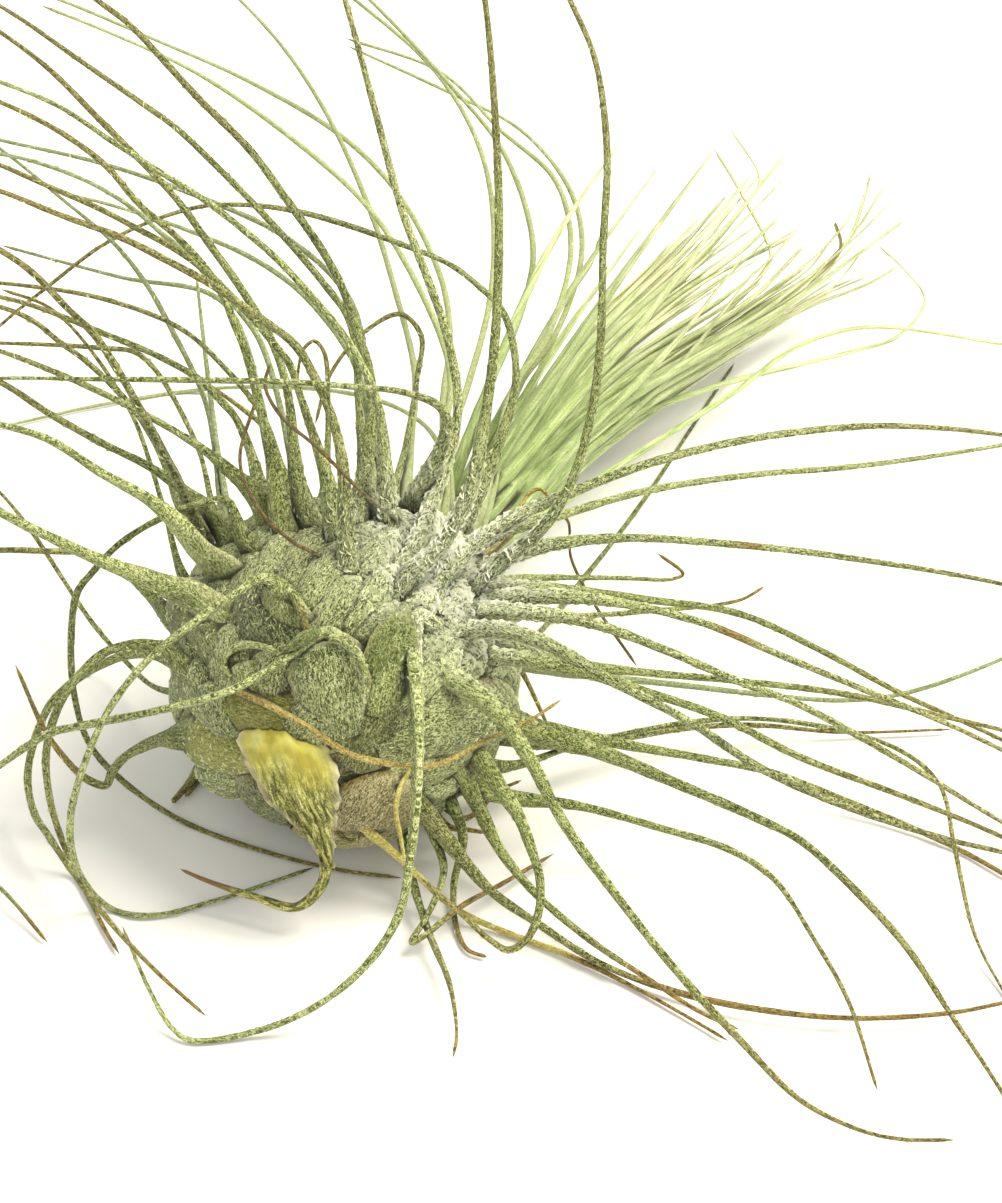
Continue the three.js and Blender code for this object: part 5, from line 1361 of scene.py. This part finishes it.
# %% The heart
INNER_THREADS = 9
STRAIGHT_STRANDS = (0, 1, 2, 5, 6, 7, 9, 10, 11, 12)  # the traced strands, from left to right
FINE_STRANDS = 72
STRAND_PLACES = 16
DRAW_STEP, DRAW_ROUND = 16807, 2147483647  # a common pair for a steady stream of draws
draw_state = 20261


def draw():
    """A steady stream of draws from 0 to 1, the same as the solids use."""
    global draw_state
    draw_state = draw_state * DRAW_STEP % DRAW_ROUND
    return draw_state / DRAW_ROUND


def inner_thread(i):
    """A young thread deep in the heart, which opens away from the stem as it goes."""
    spread = across_stem(i * GOLDEN_ANGLE)
    reach = 46 + 30 * draw()
    opening = 3 + 9 * draw()
    root = BULB_CENTRE + STEM * (BULB_ALONG + 1.5)
    places = []
    for share, out in ((0, 0.08), (0.3, 0.5), (0.65, 0.9), (1, 1)):
        point = root + STEM * (reach * share) + spread * (opening * out)
        point[2] = max(point[2] + 3 * share, TABLE_GAP)
        places.append(point)
    return smooth_curve(places)


def evenly(line):
    """A strand by places that lie evenly on it."""
    walked = along_curve(line)
    return at_distances(line, walked, np.linspace(0, walked[-1], STRAND_PLACES))


heart_lines = [traced_line(one) for one in heart_leaves]
heart_parts = [blade(line, one["widths"], "heart", *BROWN_ENDS.get(one["name"], (2, 0)), finest=0.3,
                     twist=0.3, fade=True) for line, one in zip(heart_lines, heart_leaves)]
for i in range(INNER_THREADS):
    heart_parts.append(blade(inner_thread(i), [0, 2.4, 20, 1.5, END, 0.5], "heart", finest=0.3,
                             fade=True))
strand_draws = random.Random(88)
sheaf = [evenly(heart_lines[k]) for k in STRAIGHT_STRANDS]
rise = np.linspace(0, 1, STRAND_PLACES)[:, None]
for i in range(FINE_STRANDS):
    first = i % (len(sheaf) - 1)
    share = strand_draws.uniform(0.1, 0.9)
    stray = np.array([strand_draws.gauss(0, 1) for _ in range(3)])
    line = sheaf[first] * (1 - share) + sheaf[first + 1] * share + stray * (0.35 + 0.55 * rise**2)
    reach = strand_draws.uniform(0.74, 1.0)
    line = smooth_curve(line[: round(STRAND_PLACES * reach)])
    line[:, 2] = np.maximum(line[:, 2], TABLE_GAP)
    heart_parts.append(blade(line, [0, 2.2, 16, 1.5, 34, 1.25, END, 0.35], "heart", finest=0.26,
                             twist=0.4, far_step=2.2, fade=True))
outfit.append(("heart_strands", "heart", heart_parts))
print("strands in the heart:", len(heart_parts))

# %% The dry strip and threads
for one in dry_leaves:
    if one["tone"] == "brown":
        one["widths"] = [0, 0.55, 4, 0.52, END, 0.4]
    outfit.append(("leaf_" + one["name"], one["name"], leaf_parts(one, with_sheath=False)))
print("pieces listed:", len(outfit))

# %% [markdown]
# Little light gets into the creases between the sheaths: their shade is painted in. How shut-in a
# point is, is measured with short rays: each that soon meets another leaf closes it in a little.
# Light alone would show it too, but on a white table under a white sky it shows too faintly.

# %% Shade painted into the creases
CREASE_REACH = 2.8  # mm
CREASE_AREA = 27  # mm from the bulb's centre
SKIN_CLEAR = 0.12  # mm: a ray starts this far off the skin
RAYS = 16
GRAZING = 0.3  # a ray that leaves the skin at a flatter angle than this is left out


def spread_ways(count):
    """Directions spread evenly over a ball."""
    heights = (np.arange(count) + 0.5) / count * 2 - 1
    turns = np.radians(GOLDEN_ANGLE) * np.arange(count)
    flat = np.sqrt(1 - heights**2)
    return np.stack([flat * np.cos(turns), flat * np.sin(turns), heights], axis=1)


def measure_creases(parts):
    """Fills in how shut-in each point near the bulb is, from 0 to 1."""
    points, faces, start = [], [], 0
    for part in parts:
        points.append(part.points)
        faces += [tuple(start + k for k in face) for face in part.faces]
        start += len(part.points)
    tree = BVHTree.FromPolygons(np.vstack(points).tolist(), faces)
    ways = spread_ways(RAYS)
    measured = 0
    for part in parts:
        near = np.linalg.norm(part.points - BULB_CENTRE, axis=1) < CREASE_AREA
        for k in np.nonzero(near)[0]:
            look = part.outward[k]
            begin = Vector(part.points[k] + look * SKIN_CLEAR)
            shut, weights = 0.0, 0.0
            for way in ways[ways @ look > GRAZING]:
                weight = way @ look
                distance = tree.ray_cast(begin, Vector(way), CREASE_REACH)[3]
                weights += weight
                if distance is not None:
                    shut += weight * (1 - distance / CREASE_REACH)
            part.crease[k] = shut / weights
            measured += 1
    return measured


print("points measured:", measure_creases([part for *_, parts in outfit for part in parts]))

# %% [markdown]
# The scales that stand clear are strewn over the skins as tiny tilted shields, four faces each,
# most of them round the crown. They roughen the outline of the leaves, which no pattern can.

# %% Silver scales
FLAKE_LONG, FLAKE_WIDE, FLAKE_TILT = 0.85, 0.25, 0.2  # mm
FLAKES_BARE, FLAKES_COATED = 0.6, 7.0  # to the square mm
FLAKE_TURN = 0.7  # radians: how far the scales stray from the run of the leaf
FLAKE_SIZES = (0.6, 1.25)
FLAKE_CLEAR = 0.03  # mm over the table
flake_draws = np.random.default_rng(99)


def flakes(part):
    """Scales on one part, lying roughly along the leaf."""
    quads = np.array([face for face in part.faces if len(face) == 4])
    corners = part.points[quads]
    normals = np.cross(corners[:, 2] - corners[:, 0], corners[:, 3] - corners[:, 1])
    areas = np.linalg.norm(normals, axis=1) / 2
    coats = part.marks[quads[:, 0], 3]
    wanted = areas * (FLAKES_BARE + (FLAKES_COATED - FLAKES_BARE) * coats)
    wanted *= (1 - part.crease[quads[:, 0]]) * (part.marks[quads[:, 0], 0] < 0.5)
    chosen = np.repeat(np.arange(len(quads)), flake_draws.poisson(wanted))
    if not len(chosen):
        return None
    across, along = flake_draws.random((2, len(chosen), 1))
    a, b, c, d = corners[chosen].transpose(1, 0, 2)
    spots = (a * (1 - across) + b * across) * (1 - along) + (d * (1 - across) + c * across) * along
    run = d - a + (c - b)
    run /= np.linalg.norm(run, axis=1)[:, None]
    up = normals[chosen] / (2 * areas[chosen, None])
    aside = np.cross(up, run)
    turn = flake_draws.normal(0, FLAKE_TURN, (len(chosen), 1))
    run, aside = run * np.cos(turn) + aside * np.sin(turn), aside * np.cos(turn) - run * np.sin(turn)
    size = flake_draws.uniform(*FLAKE_SIZES, (len(chosen), 1)) * (0.6 + 0.4 * coats[chosen, None])
    long, wide, tilt = (side * size / 2 for side in (FLAKE_LONG, FLAKE_WIDE, 2 * FLAKE_TILT))
    shields = np.stack([spots - run * long, spots + run * long, spots + aside * wide + up * tilt,
                        spots - aside * wide - up * tilt], axis=1)
    faces = [tuple(4 * k + i for i in face) for k in range(len(chosen))
             for face in ((0, 1, 2), (1, 0, 3), (2, 3, 0), (3, 2, 1))]
    held = np.repeat(quads[chosen, 0], 4)
    brown, edge, hue, coat = part.marks[held].T
    strewn = Part(shields.reshape(-1, 3), faces, brown, edge, 0.0, coat, part.lie[held],
                  part.outward[held], "flake")
    strewn.crease = part.crease[held]
    strewn.points[:, 2] = np.maximum(strewn.points[:, 2], FLAKE_CLEAR)
    return strewn


BARE_SKINS = ("torn", "brown", "dry", "yellow", "heart", "far", "shade")
strewn_count = 0
for name, node, parts in outfit:
    strewn = [flakes(part) for part in parts if part.skin not in BARE_SKINS]
    strewn = [part for part in strewn if part is not None]
    strewn_count += sum(len(part.points) // 4 for part in strewn)
    make_piece(name, node, parts + strewn)
print("pieces:", len(outfit), "scales:", strewn_count)

# %% [markdown]
# The plant lies on a pale matte table. A large soft light hangs over it to the right, a weak one
# fills in from in front, and a white sky gives plenty of light from all round, as in a shop's
# picture on white. A small hard lamp would draw each thread twice, once as a black shadow. The
# table isn't part of the plant, so it is only staged.

# %% Table and light
TABLE_HALF = 3.0  # m
SKY = 0.8


def pale_table():
    """White paper, so matte that nothing is mirrored in it."""
    corners = [(x * TABLE_HALF, y * TABLE_HALF, 0) for x, y in ((-1, -1), (1, -1), (1, 1), (-1, 1))]
    mesh = bpy.data.meshes.new("table")
    mesh.from_pydata(corners, [], [(0, 1, 2, 3)])
    top = bpy.data.objects.new("table", mesh)
    bpy.context.scene.collection.objects.link(top)
    paper, tree, shader = new_skin("white_matte_paper")
    shader.inputs["Base Color"].default_value = linear("#F4F2EC")
    shader.inputs["Roughness"].default_value = 0.9
    mesh.materials.append(paper)


def soft_light(name, place, aim, size, power, colour="#FFFFFF"):
    """A round soft light at a place in metres, turned to what it lights."""
    data = bpy.data.lights.new(name, "AREA")
    data.shape, data.size, data.energy = "DISK", size, power
    data.color = linear(colour)[:3]
    light = bpy.data.objects.new(name, data)
    light.location = place
    light.rotation_euler = (Vector(aim) - Vector(place)).to_track_quat("-Z", "Y").to_euler()
    bpy.context.scene.collection.objects.link(light)


pale_table()
world = bpy.data.worlds.new("studio")
world.use_nodes = True
world.node_tree.nodes["Background"].inputs["Color"].default_value = linear("#FFFFFF")
world.node_tree.nodes["Background"].inputs["Strength"].default_value = SKY
bpy.context.scene.world = world
soft_light("window", place=(0.42, 0.1, 0.72), aim=(0, 0, 0.01), size=0.5, power=10.0, colour="#FFF9EC")
soft_light("reflector", place=(-0.15, -0.75, 0.55), aim=(0, 0, 0.02), size=0.7, power=1.0)
bpy.context.scene.view_settings.view_transform = "Standard"
print("lights:", len(bpy.data.lights), "and a sky of", SKY)
